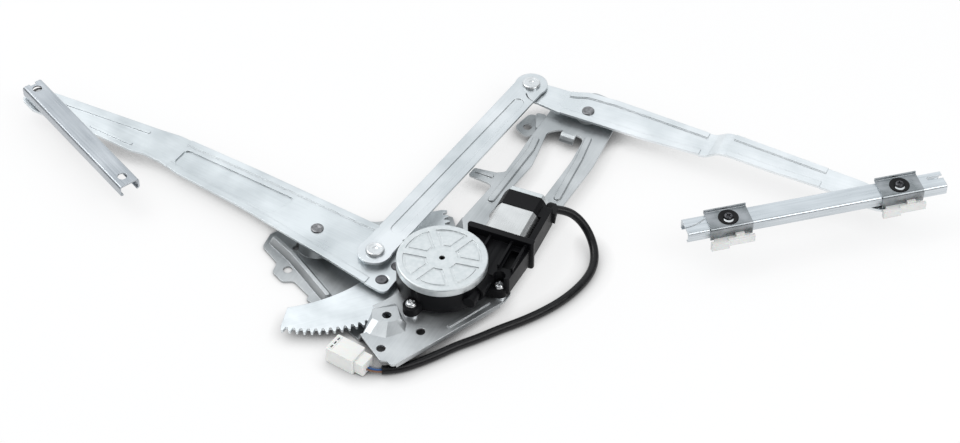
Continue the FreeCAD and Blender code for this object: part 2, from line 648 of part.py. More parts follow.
def right_lift_arm():
    """The second arm, with its crank tail and the upward jog."""
    arm = pressed_arm(right_arm_outline(), RIGHT_JOG, RIGHT_ARM_FLOOR)
    outer_floor = RIGHT_ARM_FLOOR + RIGHT_JOG_RISE
    arm = raised_border(arm, right_arm_outline(), -20.0, 97.0, RIGHT_ARM_FLOOR, BORDER_RISE)
    arm = raised_border(arm, right_arm_outline(), 119.0, 196.0, outer_floor, 0.6)
    pin = polar((0, 0), CRANK_RADIUS, LINK_ANGLE + 90 - RIGHT_ARM_ANGLE)
    cuts = [post((0, 0), PIVOT_SHANK_RADIUS + PIN_CLEARANCE, 0, 40),
            post(pin, LINK_SHANK_RADIUS, 0, 40),
            post(RIGHT_ROLLER, ROLLER_PIN_RADIUS, 0, 40),
            post((0, 0), PIVOT_HEAD_RADIUS + 0.6, RIGHT_ARM_TOP, 40)]
    seat = post((0, 0), PIVOT_HEAD_RADIUS + 2.0, RIGHT_ARM_FLOOR, RIGHT_ARM_TOP)
    arm = arm.fuse(seat).cut(cuts)
    return placed(arm.removeSplitter(), RIGHT_PIVOT, RIGHT_ARM_ANGLE)


def link_bar():
    """The link with round eyes and a long pressed channel."""
    eye = 13.0
    waist = 12.2
    bar = Part.Face(capsule((0, 0), (LINK_LENGTH, 0), 2 * waist, LINK_FLOOR))
    bar = bar.extrude(vec(0, 0, LINK_SHEET))
    for s in (0.0, LINK_LENGTH):
        bar = bar.fuse(post((s, 0), eye, LINK_FLOOR, LINK_TOP))
    channel = ((28.0, -0.7), (LINK_LENGTH - 24.0, -2.6))
    bar = press(bar, *channel, 11.0, -0.8, LINK_FLOOR, LINK_SHEET)
    holes = [post((0, 0), LINK_SHANK_RADIUS + PIN_CLEARANCE, 0, 40),
             post((LINK_LENGTH, 0), LINK_SHANK_RADIUS, 0, 40)]
    holes += [post((22.1, waist + 0.4), 1.3, 0, 40), post((20.5, -waist - 0.4), 1.3, 0, 40)]
    lance = [(LINK_LENGTH - 11.3, -2.3), (LINK_LENGTH - 14.0, -5.0), (LINK_LENGTH - 15.4, -7.8),
             (LINK_LENGTH - 16.1, -11.1)]
    holes.append(slit(lance, 0.9, 0.0, 40.0))
    return placed(bar.cut(holes).removeSplitter(), LINK_LOWER, LINK_ANGLE)


def link_lower_rivet():
    """The shouldered rivet of the link on the left arm's tail."""
    shank = dome_rivet(LINK_LOWER, LINK_SHANK_RADIUS, LINK_HEAD_RADIUS, LEFT_ARM_FLOOR,
                       LINK_TOP + AXIAL_GAP, LINK_HEAD_HEIGHT)
    shoulder = post(LINK_LOWER, LINK_SPACER_RADIUS, LEFT_ARM_TOP, LINK_FLOOR - AXIAL_GAP)
    return shank.fuse(shoulder).removeSplitter()


def link_upper_rivet():
    """The upper rivet of the link, held in the link and clear of the right arm."""
    low = RIGHT_ARM_TOP + RUNNING_GAP
    return dome_rivet(LINK_UPPER, LINK_SHANK_RADIUS, LINK_HEAD_RADIUS, low, LINK_TOP,
                      LINK_HEAD_HEIGHT)


def pivot_rivet(centre, low, arm_top):
    return dome_rivet(centre, PIVOT_SHANK_RADIUS, PIVOT_HEAD_RADIUS, low, arm_top + AXIAL_GAP,
                      PIVOT_HEAD_HEIGHT)


def rail_profile(length):
    """A C-channel, open side down, with its lips turned in."""
    w = RAIL_WIDTH / 2
    h = RAIL_HEIGHT
    t = RAIL_SHEET
    lip = w - RAIL_LIP
    rim = [(-lip, 0, 0.5), (-w, 0, 2.0), (-w, h, 2.2), (w, h, 2.2), (w, 0, 2.0), (lip, 0, 0.5),
           (lip, t, 0.5), (w - t, t, 0.8), (w - t, h - t, 1.0), (-w + t, h - t, 1.0),
           (-w + t, t, 0.8), (-lip, t, 0.5)]
    face = Part.Face(outline(rim, 0.0))
    channel = face.extrude(vec(0, 0, length))
    channel.rotate(vec(0, 0), vec(1, 0, 0), 90)
    channel.rotate(vec(0, 0), vec(0, 0, 1), 90)
    return channel


def left_rail_floor():
    return LEFT_ARM_TOP + LEFT_JOG_RISE + RAIL_RISE


def right_rail_floor():
    return RIGHT_ARM_TOP + RIGHT_JOG_RISE + RAIL_RISE


def left_roller_centre():
    return local_to_frame(LEFT_ROLLER, LEFT_PIVOT, LEFT_ARM_ANGLE)


def right_roller_centre():
    return local_to_frame(RIGHT_ROLLER, RIGHT_PIVOT, RIGHT_ARM_ANGLE)


def left_glass_rail():
    """The short rail on the left arm, with its two fixing holes."""
    rail = rail_profile(LEFT_RAIL_LENGTH)
    rail = rail.cut([post((s, 0), RAIL_HOLE_RADIUS, 4, 20) for s in LEFT_RAIL_HOLES])
    notch = box((-1, -2.6, RAIL_HEIGHT - 2), (2.2, 2.6, RAIL_HEIGHT + 1))
    rail = rail.cut(notch)
    start = polar(left_roller_centre(), -LEFT_RAIL_ROLLER_AT, LEFT_RAIL_ANGLE)
    return placed(rail, start, LEFT_RAIL_ANGLE, left_rail_floor())


def right_rail_start():
    return polar(right_roller_centre(), -RIGHT_RAIL_ROLLER_AT, RIGHT_RAIL_ANGLE)


def right_glass_rail():
    """The long rail on the right arm, slit at one end and slotted at the other."""
    rail = rail_profile(RIGHT_RAIL_LENGTH)
    slot = plate([(-12.5, -1.6, 1.5), (-12.5, 1.6, 1.5), (1.0, 1.6), (1.0, -1.6)], 4, 12)
    slot.translate(vec(RIGHT_RAIL_LENGTH, 2.0, 0))
    studs = [post((s, 0), CLIP_STUD_RADIUS + 0.1, 4, 20) for s in CLIP_CENTRES]
    curl = slit([(-0.5, -1.8), (5.0, -1.2), (11.0, 0.8), (16.4, 3.6)], 0.9, 6, 12)
    rail = rail.cut([slot, curl] + studs)
    return placed(rail, right_rail_start(), RIGHT_RAIL_ANGLE, right_rail_floor())


def glass_clip(along):
    """A saddle over the rail, with a turned-down front flange and a raised rear lip."""
    half = CLIP_LENGTH / 2
    top = RAIL_HEIGHT
    wide = RAIL_WIDTH / 2 + 0.1
    t = CLIP_SHEET
    lip = top + t + 2.0
    profile = [(-wide - t, -0.6, 0.5), (-wide - t, top + t, 2.4), (wide, top + t, 0.6),
               (wide, lip, 0.4), (wide + t, lip, 0.4), (wide + t, top, 1.6),
               (-wide, top, 1.2), (-wide, -0.6, 0.3)]
    saddle = Part.Face(outline(profile)).extrude(vec(0, 0, 2 * half))
    saddle.rotate(vec(0, 0), vec(1, 0, 0), 90)
    saddle.rotate(vec(0, 0), vec(0, 0, 1), 90)
    saddle.translate(vec(along - half, 0, 0))
    hole = post((along, 0), CLIP_HOLE_RADIUS, top - 0.5, top + t + 1)
    slit = box((along + 2, -wide - t - 1, 0.4), (along + 10, -wide + 0.05, 2.0))
    return placed(saddle.cut([hole, slit]), right_rail_start(), RIGHT_RAIL_ANGLE,
                  right_rail_floor())


def clip_pad(along):
    """The moulded pad that hangs below the clip's front flange, with its hook."""
    flange = -RAIL_WIDTH / 2 - 0.1 - CLIP_SHEET
    inner = flange - PAD_STANDOFF
    front = inner - PAD_DEPTH
    low = -PAD_DROP
    hook = along + 6.0 - HOOK_LENGTH / 2
    parts = [box((along - 17, front, low), (along - 3, inner, 1.0)),
             box((along - 4, front + 0.8, low + 1.6), (along + 17, inner, 1.9)),
             box((along - 14, inner - 0.1, -0.6), (along + 14, flange - PIN_CLEARANCE, 1.0)),
             box((hook, inner, 0.0), (hook + HOOK_LENGTH, flange - PIN_CLEARANCE, 3.6)),
             box((hook, flange - 0.1, 0.6), (hook + HOOK_LENGTH, flange + CLIP_SHEET, 1.8))]
    pad = parts[0].fuse(parts[1:]).removeSplitter()
    return placed(pad, right_rail_start(), RIGHT_RAIL_ANGLE, right_rail_floor())


def clip_grommet(along):
    """The black ring round the stud."""
    low = RAIL_HEIGHT
    ring = taper((along, 0), CLIP_HOLE_RADIUS - 0.2, CLIP_HOLE_RADIUS - 1.0, low, low + 1.9)
    ring = ring.cut(post((along, 0), CLIP_STUD_RADIUS, low - 1, low + 4))
    return placed(ring, right_rail_start(), RIGHT_RAIL_ANGLE, right_rail_floor())


def clip_stud(along):
    """The stud through rail and clip."""
    low = RAIL_HEIGHT - RAIL_SHEET - 1.2
    high = RAIL_HEIGHT + 3.4
    stud = post((along, 0), CLIP_STUD_RADIUS, RAIL_HEIGHT - RAIL_SHEET, high)
    stud = stud.fuse(post((along, 0), CLIP_STUD_RADIUS + 1.4, low, RAIL_HEIGHT - RAIL_SHEET))
    crown = [e for e in stud.Edges if abs(e.CenterOfMass.z - high) < 1e-6]
    stud = stud.makeFillet(1.4, crown)
    return placed(stud, right_rail_start(), RIGHT_RAIL_ANGLE, right_rail_floor())


def roller(centre, arm_top, rail_floor):
    """A grooved roller: the neck between the rail's lips, the disc in the channel."""
    neck = post(centre, ROLLER_NECK_RADIUS, arm_top + 0.2, rail_floor + RAIL_SHEET + 0.5)
    disc = post(centre, ROLLER_RADIUS, rail_floor + RAIL_SHEET + 0.4,
                rail_floor + RAIL_HEIGHT - RAIL_SHEET - 1.0)
    foot = post(centre, ROLLER_RADIUS, arm_top + 0.2, rail_floor - 0.2)
    body = neck.fuse([disc, foot])
    return body.cut(post(centre, ROLLER_PIN_RADIUS + PIN_CLEARANCE, 0, 60)).removeSplitter()


def roller_pin(centre, arm_floor, rail_floor):
    """The pin riveted into the arm's end."""
    top = rail_floor + RAIL_HEIGHT - RAIL_SHEET - 0.3
    pin = post(centre, ROLLER_PIN_RADIUS, arm_floor - 0.8, top - 0.6)
    tail = taper(centre, ROLLER_PIN_RADIUS + 1.0, ROLLER_PIN_RADIUS + 1.8, arm_floor - 0.8,
                 arm_floor)
    cap = post(centre, ROLLER_PIN_RADIUS + 1.6, top - 0.6, top)
    return pin.fuse([tail, cap]).removeSplitter()


def motor_solid(shape):
    """A shape modelled along X from the worm axis's foot, put in its place."""
    foot = polar(PINION_CENTRE, WORM_OFFSET, MOTOR_ANGLE - 90)
    return placed(shape, foot, MOTOR_ANGLE, WORM_AXIS_Z)


def along_axis(radius, start, end):
    return Part.makeCylinder(radius, end - start, vec(start, 0, 0), vec(1, 0, 0))


def can_section(grow, x):
    """The can's section: a circle with flats above and below."""
    radius = CAN_WIDTH / 2 + grow
    flat = CAN_HEIGHT / 2 + grow
    half = math.sqrt(radius ** 2 - flat ** 2)
    top_a, top_b = vec(x, -half, flat), vec(x, half, flat)
    low_a, low_b = vec(x, -half, -flat), vec(x, half, -flat)
    edges = [Part.LineSegment(top_a, top_b).toShape(),
             Part.Arc(top_b, vec(x, radius, 0), low_b).toShape(),
             Part.LineSegment(low_b, low_a).toShape(),
             Part.Arc(low_a, vec(x, -radius, 0), top_a).toShape()]
    return Part.Face(Part.Wire(edges))


def can_block(grow, start, end):
    return can_section(grow, start).extrude(vec(end - start, 0, 0))


def gearbox_housing():
    """The moulded housing: wheel pot, worm tube, motor flange and screw ears."""
    centre = PINION_CENTRE
    pot = post(centre, POT_RADIUS, POT_FLOOR, POT_TOP)
    neck = post(centre, NECK_RADIUS, PANEL_TOP, POT_FLOOR)
    ears = []
    for point in screw_points():
        reach = capsule(point, centre, 2 * EAR_BOSS_RADIUS, PANEL_TOP + SPACER_HEIGHT)
        arm = Part.Face(reach).extrude(vec(0, 0, EAR_BOSS_TOP - PANEL_TOP - SPACER_HEIGHT))
        ears.append(arm.cut(post(centre, NECK_RADIUS + 8, 0, POT_FLOOR)))
    tube = motor_solid(along_axis(WORM_TUBE_RADIUS + 2.0, -12.0, FLANGE_AT))
    nose = motor_solid(along_axis(WORM_TUBE_RADIUS - 0.6, -WORM_TUBE_END, -12.0))
    flange = plate([(FLANGE_AT, FLANGE_SHIFT - FLANGE_WIDTH / 2, 2),
                    (FLANGE_AT + FLANGE_THICKNESS, FLANGE_SHIFT - FLANGE_WIDTH / 2, 2),
                    (FLANGE_AT + FLANGE_THICKNESS, FLANGE_SHIFT + FLANGE_WIDTH / 2, 2),
                    (FLANGE_AT, FLANGE_SHIFT + FLANGE_WIDTH / 2, 2)], -12.5, 26.0)
    block = plate([(4.0, -20.0, 2), (FLANGE_AT + 1, -23.0, 2), (FLANGE_AT + 1, 22.0, 2),
                   (4.0, 12.0, 6)], -9.0, 15.5)
    block = block.cut(box((14.0, -17.5, 2.0), (FLANGE_AT - 5.0, -10.5, 8.0)))
    ribs = [motor_solid(box((x, y - 0.9, 6.0), (FLANGE_AT + 0.5, y + 0.9, 10.5)))
            for x, y in ((12.0, -19.2), (12.0, -8.6), (27.0, 8.6))]
    body = pot.fuse([neck, tube, nose, motor_solid(flange), motor_solid(block)] + ears + ribs)
    wheel_room = post(centre, POT_RADIUS - POT_WALL, POT_FLOOR + 2.4, POT_TOP + 1)
    worm_room = motor_solid(along_axis(WORM_TUBE_RADIUS, -12.0, FLANGE_AT + 10))
    nose_room = motor_solid(along_axis(WORM_RADIUS - 0.6, -WORM_TUBE_END + 2.0, -11.0))
    bore = post(centre, SHAFT_RADIUS + PIN_CLEARANCE, 0, 60)
    pinion_room = post(centre, NECK_RADIUS - 4.0, 0, PANEL_TOP + 0.5)
    cuts = [wheel_room, worm_room, nose_room, bore, pinion_room]
    cuts += [post(p, SCREW_RADIUS, 0, 60) for p in screw_points()]
    cuts += [post(p, SCREW_HEAD_RADIUS + RUNNING_GAP, EAR_BOSS_TOP, POT_TOP + 1)
             for p in screw_points()]
    arm_room = post(LEFT_PIVOT, SLOT_INNER_RADIUS + 1.5, 0, POT_FLOOR - 0.001)
    return body.cut(cuts + [arm_room])


def gearbox_cover():
    """The round metal cover with six spokes between recessed panels."""
    centre = PINION_CENTRE
    cover = post(centre, POT_RADIUS, POT_TOP, COVER_TOP)
    rim = [e for e in cover.Edges if abs(e.CenterOfMass.z - COVER_TOP) < 1e-6]
    cover = cover.makeFillet(1.2, rim)
    cover = cover.cut(post(centre, POT_RADIUS - COVER_SHEET, POT_TOP - 1, COVER_TOP - COVER_SHEET))
    panel_depth = 0.7
    ring = post(centre, POT_RADIUS - 5.0, COVER_TOP - panel_depth, COVER_TOP + 1)
    ring = ring.cut(post(centre, 11.5, COVER_TOP - 2, COVER_TOP + 2))
    spokes = []
    for i in range(3):
        bar = box((-POT_RADIUS, -2.6, COVER_TOP - 2), (POT_RADIUS, 2.6, COVER_TOP + 2))
        spokes.append(placed(bar, centre, 45.0 + 60.0 * i))
    cover = cover.cut(ring.cut(spokes))
    step = 1.8
    plateau = post(centre, POT_RADIUS - 5.0 - step, COVER_TOP - panel_depth, COVER_TOP - 0.2)
    plateau = plateau.cut(post(centre, 11.5 + step, COVER_TOP - 2, COVER_TOP + 2))
    for i in range(3):
        half = 2.6 + step
        bar = box((-POT_RADIUS, -half, COVER_TOP - 2), (POT_RADIUS, half, COVER_TOP + 2))
        plateau = plateau.cut(placed(bar, centre, 45.0 + 60.0 * i))
    cover = cover.fuse(plateau)
    return cover.cut(post(centre, 2.2, COVER_TOP - 4, COVER_TOP + 1)).removeSplitter()


def motor_screws():
    screws = []
    for point in screw_points():
        shank = post(point, SCREW_RADIUS, PANEL_FLOOR - 0.5, EAR_BOSS_TOP)
        head = post(point, SCREW_HEAD_RADIUS, EAR_BOSS_TOP, EAR_BOSS_TOP + SCREW_HEAD_HEIGHT)
        screws.append(shank.fuse(head).removeSplitter())
    return Part.makeCompound(screws)


def motor_spacers():
    spacers = []
    for point in screw_points():
        tube = post(point, SPACER_RADIUS, PANEL_TOP, PANEL_TOP + SPACER_HEIGHT)
        spacers.append(tube.cut(post(point, SCREW_RADIUS, 0, 60)))
    return Part.makeCompound(spacers)


def motor_can():
    """The drawn steel can, open towards the gearbox."""
    start = FLANGE_AT + FLANGE_THICKNESS
    can = can_block(0.0, start, start + CAN_LENGTH)
    return motor_solid(can.cut(can_block(-CAN_WALL, start - 1, start + CAN_LENGTH + 1)))


def motor_band():
    """The black brush housing behind the can."""
    start = FLANGE_AT + FLANGE_THICKNESS + CAN_LENGTH
    band = can_block(0.4, start, start + BAND_LENGTH)
    near = FLANGE_AT + FLANGE_THICKNESS + RUNNING_GAP
    far = start + BAND_LENGTH - STRAP_SETBACK
    strap = box((near, -STRAP_OUTER, STRAP_LOW), (far, -STRAP_INNER, STRAP_HIGH))
    foot = box((start, -STRAP_OUTER, STRAP_LOW), (far, -CAN_WIDTH / 4, STRAP_HIGH))
    band = band.fuse([strap, foot])
    band = band.cut(can_block(-2.4, start - 1, start + BAND_LENGTH - 4.0))
    return motor_solid(band.cut(along_axis(2.6, start, start + BAND_LENGTH + 1)))


def motor_cap():
    """The bright end cap with its bearing cup."""
    start = FLANGE_AT + FLANGE_THICKNESS + CAN_LENGTH + BAND_LENGTH
    cap = can_block(-0.6, start, start + CAP_LENGTH)
    edges = [e for e in cap.Edges if e.CenterOfMass.x > start + CAP_LENGTH - 0.01]
    cap = cap.makeFillet(2.0, edges)
    return motor_solid(cap.cut(along_axis(2.6, start - 1, start + CAP_LENGTH - 3.0)))


def motor_magnets():
    """Two arc magnets inside the can."""
    start = FLANGE_AT + FLANGE_THICKNESS + 2.0
    end = start + CAN_LENGTH - 4.0
    outer = can_block(-CAN_WALL - 0.05, start, end)
    ring = outer.cut(along_axis(CORE_RADIUS + 0.8, start - 1, end + 1))
    pole = box((start - 1, 8.5, -30), (end + 1, 40, 30))
    other = box((start - 1, -40, -30), (end + 1, -8.5, 30))
    pieces = [motor_solid(ring.common(pole)), motor_solid(ring.common(other))]
    return Part.makeCompound(pieces)


def armature_shaft():
    """The armature's shaft with the worm at its gearbox end."""
    last = FLANGE_AT + FLANGE_THICKNESS + CAN_LENGTH + BAND_LENGTH + CAP_LENGTH - 3.4
    shaft = along_axis(2.5, 18.0, last)
    worm = along_axis(WORM_RADIUS, -11.6, 18.0)
    tip = along_axis(WORM_RADIUS - 0.7, -WORM_TUBE_END + 2.6, -11.6)
    return motor_solid(shaft.fuse([worm, tip]).removeSplitter())


def armature_core():
    """The slotted armature stack."""
    start = FLANGE_AT + FLANGE_THICKNESS + 4.0
    core = along_axis(CORE_RADIUS, start, start + CORE_LENGTH)
    core = core.cut(along_axis(2.5, start - 1, start + CORE_LENGTH + 1))
    slots = []
    for i in range(8):
        slot = box((start - 1, -0.9, CORE_RADIUS - 3.2),
                   (start + CORE_LENGTH + 1, 0.9, CORE_RADIUS + 1))
        slot.rotate(vec(0, 0), vec(1, 0, 0), 45.0 * i)
        slots.append(slot)
    return motor_solid(core.cut(slots))


def commutator():
    start = FLANGE_AT + FLANGE_THICKNESS + CAN_LENGTH + 1.5
    ring = along_axis(5.5, start, start + 9.0)
    return motor_solid(ring.cut(along_axis(2.5, start - 1, start + 10.0)))


def brushes():
    """Two carbon brushes that ride beside the commutator."""
    start = FLANGE_AT + FLANGE_THICKNESS + CAN_LENGTH + 3.0
    first = box((start, 5.8, -2.2), (start + 5.0, CAN_WIDTH / 2 - 2.6, 2.2))
    second = box((start, -CAN_WIDTH / 2 + 2.6, -2.2), (start + 5.0, -5.8, 2.2))
    return Part.makeCompound([motor_solid(first), motor_solid(second)])


def cable_path(points):
    """Straight runs joined by tangent arcs through a route's points."""
    edges = []
    here = points[0]
    for back, corner, ahead in zip(points, points[1:], points[2:]):
        into = (corner - back)
        out = (ahead - corner)
        turn = into.getAngle(out)
        radius = 0.45 * min(into.Length, out.Length) / math.tan(turn / 2)
        reach = radius * math.tan(turn / 2)
        into.normalize()
        out.normalize()
        start = corner - into * reach
        end = corner + out * reach
        bow = (out - into).normalize() * (radius / math.cos(turn / 2) - radius)
        edges.append(Part.LineSegment(here, start).toShape())
        edges.append(Part.Arc(start, corner + bow, end).toShape())
        here = end
        print("bend radius", round(radius, 1), "turn", round(math.degrees(turn), 1))
    edges.append(Part.LineSegment(here, points[-1]).toShape())
    return Part.Wire(edges)


def tube_along(path, diameter):
    first = path.Edges[0]
    start = first.Vertexes[0].Point
    along = first.tangentAt(first.FirstParameter)
    ring = Part.Wire(Part.makeCircle(diameter / 2, start, along))
    tube = path.makePipeShell([ring], True, True)
    return tube


def cable_tube():
    path = cable_path([vec(*p) for p in CABLE_ROUTE])
    tube = tube_along(path, CABLE_DIAMETER)
    expected = path.Length * math.pi * (CABLE_DIAMETER / 2) ** 2
    print("cable length", round(path.Length, 1), "volume ratio", round(tube.Volume / expected, 4))
    return tube


def cable_gland():
    """The black elbow where the lead leaves the motor."""
    exit_point = vec(*CABLE_ROUTE[0])
    along = (vec(*CABLE_ROUTE[1]) - exit_point).normalize()
    cone = Part.makeCone(CABLE_DIAMETER / 2 + 2.2, CABLE_DIAMETER / 2 + 1.0, 8.0,
                         exit_point - along * 8.0, along)
    band_end = FLANGE_AT + FLANGE_THICKNESS + CAN_LENGTH + BAND_LENGTH
    start = band_end - STRAP_SETBACK
    block = box((start, -STRAP_OUTER - 2.0, -5.2), (start + 9.5, -STRAP_INNER + 0.4, 4.8))
    gland = cone.fuse(motor_solid(block))
    beyond = Part.makeCylinder(20.0, 40.0, exit_point, along)
    room = motor_solid(can_block(0.4, start - 5.0, band_end))
    cap_room = motor_solid(can_block(-0.6 + RUNNING_GAP, band_end - 1.0, band_end + 20.0))
    behind = motor_solid(box((start - 20.0, -60.0, -40.0), (start, 60.0, 40.0)))
    return gland.cut([beyond, room, cap_room, behind])


def plug_housing():
    """The white socket housing of the lead, open at its far end."""
    half = PLUG_LENGTH / 2
    body = plate([(-half, -PLUG_WIDTH / 2, 1), (half, -PLUG_WIDTH / 2, 1),
                  (half, PLUG_WIDTH / 2, 1), (-half, PLUG_WIDTH / 2, 1)], 0.0, PLUG_HEIGHT)
    mouth = box((-half - 1, -PLUG_WIDTH / 2 + 1.6, 1.6),
                (-half + 12.0, PLUG_WIDTH / 2 - 1.6, PLUG_HEIGHT - 1.6))
    return placed(body.cut(mouth), PLUG_CENTRE, PLUG_ANGLE)


def plug_rear():
    """The narrower wire entry behind the socket housing."""
    half = PLUG_LENGTH / 2
    end = half + PLUG_REAR_LENGTH
    body = plate([(half, -6.5, 0.5), (end, -6.5, 1), (end, 6.5, 1), (half, 6.5, 0.5)], 1.6, 10.5)
    return placed(body, PLUG_CENTRE, PLUG_ANGLE)


def lead_wires():
    """Three short wires from the sheath's end into the plug's rear."""
    end = vec(*CABLE_ROUTE[-1])
    ahead = (end - vec(*CABLE_ROUTE[-2])).normalize()
    into = vec(-math.cos(math.radians(PLUG_ANGLE)), -math.sin(math.radians(PLUG_ANGLE)))
    rear = vec(*PLUG_CENTRE) - into * (PLUG_LENGTH / 2 + PLUG_REAR_LENGTH)
    across = vec(-into.y, into.x)
    side = vec(-ahead.y, ahead.x).normalize()
    wires = []
    for shift in (-WIRE_SPACING, 0.0, WIRE_SPACING):
        first = end + side * shift
        face = rear + across * shift
        gap = face - first
        reach = (gap.x * into.y - gap.y * into.x) / (ahead.x * into.y - ahead.y * into.x)
        corner = first + ahead * reach
        last = vec(face.x, face.y, corner.z)
        wires.append(tube_along(cable_path([first, corner, last]), WIRE_DIAMETER))
    return Part.makeCompound(wires)


NODES = {
    "base_plate": base_plate,
    "ear_bracket": ear_bracket,
    "left_pivot_rivet": lambda: pivot_rivet(LEFT_PIVOT, 2.0, LEFT_ARM_TOP),
    "right_pivot_rivet": lambda: pivot_rivet(RIGHT_PIVOT, PANEL_FLOOR - 1.0, RIGHT_ARM_TOP),
    "left_lift_arm": left_lift_arm,
    "sector_gear": sector_gear,
    "sector_rivets": sector_rivets,
    "link_bar": link_bar,
    "link_lower_rivet": link_lower_rivet,
    "link_upper_rivet": link_upper_rivet,
    "right_lift_arm": right_lift_arm,
    "left_roller_pin": lambda: roller_pin(left_roller_centre(),
                                          LEFT_ARM_FLOOR + LEFT_JOG_RISE, left_rail_floor()),
    "left_roller": lambda: roller(left_roller_centre(), LEFT_ARM_TOP + LEFT_JOG_RISE,
                                  left_rail_floor()),
    "left_glass_rail": left_glass_rail,
    "right_roller_pin": lambda: roller_pin(right_roller_centre(),
                                           RIGHT_ARM_FLOOR + RIGHT_JOG_RISE, right_rail_floor()),
    "right_roller": lambda: roller(right_roller_centre(), RIGHT_ARM_TOP + RIGHT_JOG_RISE,
                                   right_rail_floor()),
    "right_glass_rail": right_glass_rail,
    "clip_near": lambda: glass_clip(CLIP_CENTRES[0]),
    "clip_far": lambda: glass_clip(CLIP_CENTRES[1]),
    "clip_pad_near": lambda: clip_pad(CLIP_CENTRES[0]),
    "clip_pad_far": lambda: clip_pad(CLIP_CENTRES[1]),
    "clip_grommets": lambda: Part.makeCompound([clip_grommet(s) for s in CLIP_CENTRES]),
    "clip_studs": lambda: Part.makeCompound([clip_stud(s) for s in CLIP_CENTRES]),
    "output_pinion": output_pinion,
    "worm_wheel": worm_wheel,
    "damper_ring": damper_ring,
    "gearbox_housing": gearbox_housing,
    "gearbox_cover": gearbox_cover,
    "motor_screws": motor_screws,
    "motor_spacers": motor_spacers,
    "motor_can": motor_can,
    "motor_band": motor_band,
    "motor_cap": motor_cap,
    "motor_magnets": motor_magnets,
    "armature_shaft": armature_shaft,
    "armature_core": armature_core,
    "commutator": commutator,
    "brushes": brushes,
    "cable_gland": cable_gland,
    "cable_tube": cable_tube,
    "plug_housing": plug_housing,
    "plug_rear": plug_rear,
    "lead_wires": lead_wires,
}

os.makedirs("parts", exist_ok=True)
for name, make in NODES.items():
    shape = make()
    shape.exportStep("parts/" + name + ".step")
    print(name, len(shape.Solids), "solids, valid", shape.isValid(), "volume", round(shape.Volume))
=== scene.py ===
"""Looks of a flat window regulator: finishes, lead, studio and camera."""
import math

import bmesh
import bpy
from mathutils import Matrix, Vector


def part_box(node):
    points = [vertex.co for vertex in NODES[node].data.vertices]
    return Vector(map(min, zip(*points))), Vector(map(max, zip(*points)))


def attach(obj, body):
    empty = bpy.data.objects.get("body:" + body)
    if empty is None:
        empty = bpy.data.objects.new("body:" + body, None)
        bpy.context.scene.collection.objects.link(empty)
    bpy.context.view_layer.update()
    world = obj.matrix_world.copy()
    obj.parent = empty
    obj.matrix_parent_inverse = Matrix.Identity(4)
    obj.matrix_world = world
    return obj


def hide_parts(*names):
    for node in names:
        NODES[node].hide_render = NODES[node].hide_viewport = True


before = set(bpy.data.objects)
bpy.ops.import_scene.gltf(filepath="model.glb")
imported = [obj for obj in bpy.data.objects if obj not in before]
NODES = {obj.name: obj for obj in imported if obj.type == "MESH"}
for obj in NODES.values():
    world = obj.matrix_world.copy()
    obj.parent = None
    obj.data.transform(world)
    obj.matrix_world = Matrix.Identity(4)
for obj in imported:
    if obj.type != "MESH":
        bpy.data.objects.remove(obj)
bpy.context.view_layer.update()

bl_info = {
    "name": "Window Regulator Finishes",
    "version": (1, 0, 0),
    "blender": (4, 5, 0),
    "location": "View3D > Sidebar > Regulator",
    "description": "Dresses a window regulator in its finishes and sets its studio",
    "category": "Object",
}

# The lead's route, in metres, from the gland to the end of its sleeve.
SLEEVE_ROUTE = (
    (0.2010, 0.0384, 0.0272), (0.2096, 0.0393, 0.0248), (0.2178, 0.0374, 0.0200),
    (0.2246, 0.0316, 0.0142), (0.2290, 0.0232, 0.0088), (0.2308, 0.0132, 0.0052),
    (0.2296, 0.0018, 0.0037), (0.2250, -0.0098, 0.0035), (0.2162, -0.0224, 0.0035),
    (0.2045, -0.0345, 0.0035), (0.1900, -0.0455, 0.0035), (0.1750, -0.0545, 0.0035),
    (0.1585, -0.0625, 0.0035), (0.1430, -0.0715, 0.0035), (0.1270, -0.0790, 0.0035),
    (0.1120, -0.0885, 0.0035), (0.0975, -0.0962, 0.0035), (0.0845, -0.1016, 0.0035),
    (0.0735, -0.1032, 0.0045),
)

# Turned and headed hardware, in metres.
LINK_SHANK = 0.0045
LINK_HEAD = 0.0072
LINK_HEAD_HEIGHT = 0.0024
LINK_SPACER = 0.0105
LINK_SPACER_LOW = 0.0166
LINK_SPACER_HIGH = 0.0202
PIVOT_SHANK = 0.0036
PIVOT_HEAD = 0.0049
PIVOT_HEAD_HEIGHT = 0.0010
SCREW_PLACES = ((0.0941, -0.0559), (0.1585, -0.0373), (0.1215, 0.0172))
SCREW_SHANK = 0.0025
SCREW_HEAD = 0.0042
SCREW_HEAD_HEIGHT = 0.0026
SCREW_FIRST_TURN = 0.4
STUD_RADIUS = 0.0036
STUD_FOOT = 0.0050
STUD_FOOT_HEIGHT = 0.0012
STUD_CROWN = 0.0014
STUD_RECESS = 0.0012
STUD_FIRST_TURN = 0.6
RING_NECK = 0.0072
RING_FLANGE = 0.0078
RING_EDGE = 0.0003
RING_DISH = 0.0002
CLIP_TOP = 0.0390
# The painted highlight crescent on each clip ring.
CRESCENT_GAP = 0.0006
CRESCENT_SLOPE = 0.0002
CRESCENT_FROM = math.radians(-150)
CRESCENT_TO = math.radians(-30)

# The plug's top face: its middle, its angle, and the bezel of its terminal slots.
PLUG_CENTRE = (0.0470, -0.0903)
PLUG_ANGLE = math.radians(-34.0)
BEZEL_AT = -0.0088
BEZEL_HALF = (0.0016, 0.0066)
BEZEL_HEIGHT = 0.0004
PLUG_REAR_REACH = 0.0200
SLOT_STEP = 0.0042
SLOT_HALF = (0.0007, 0.0014)

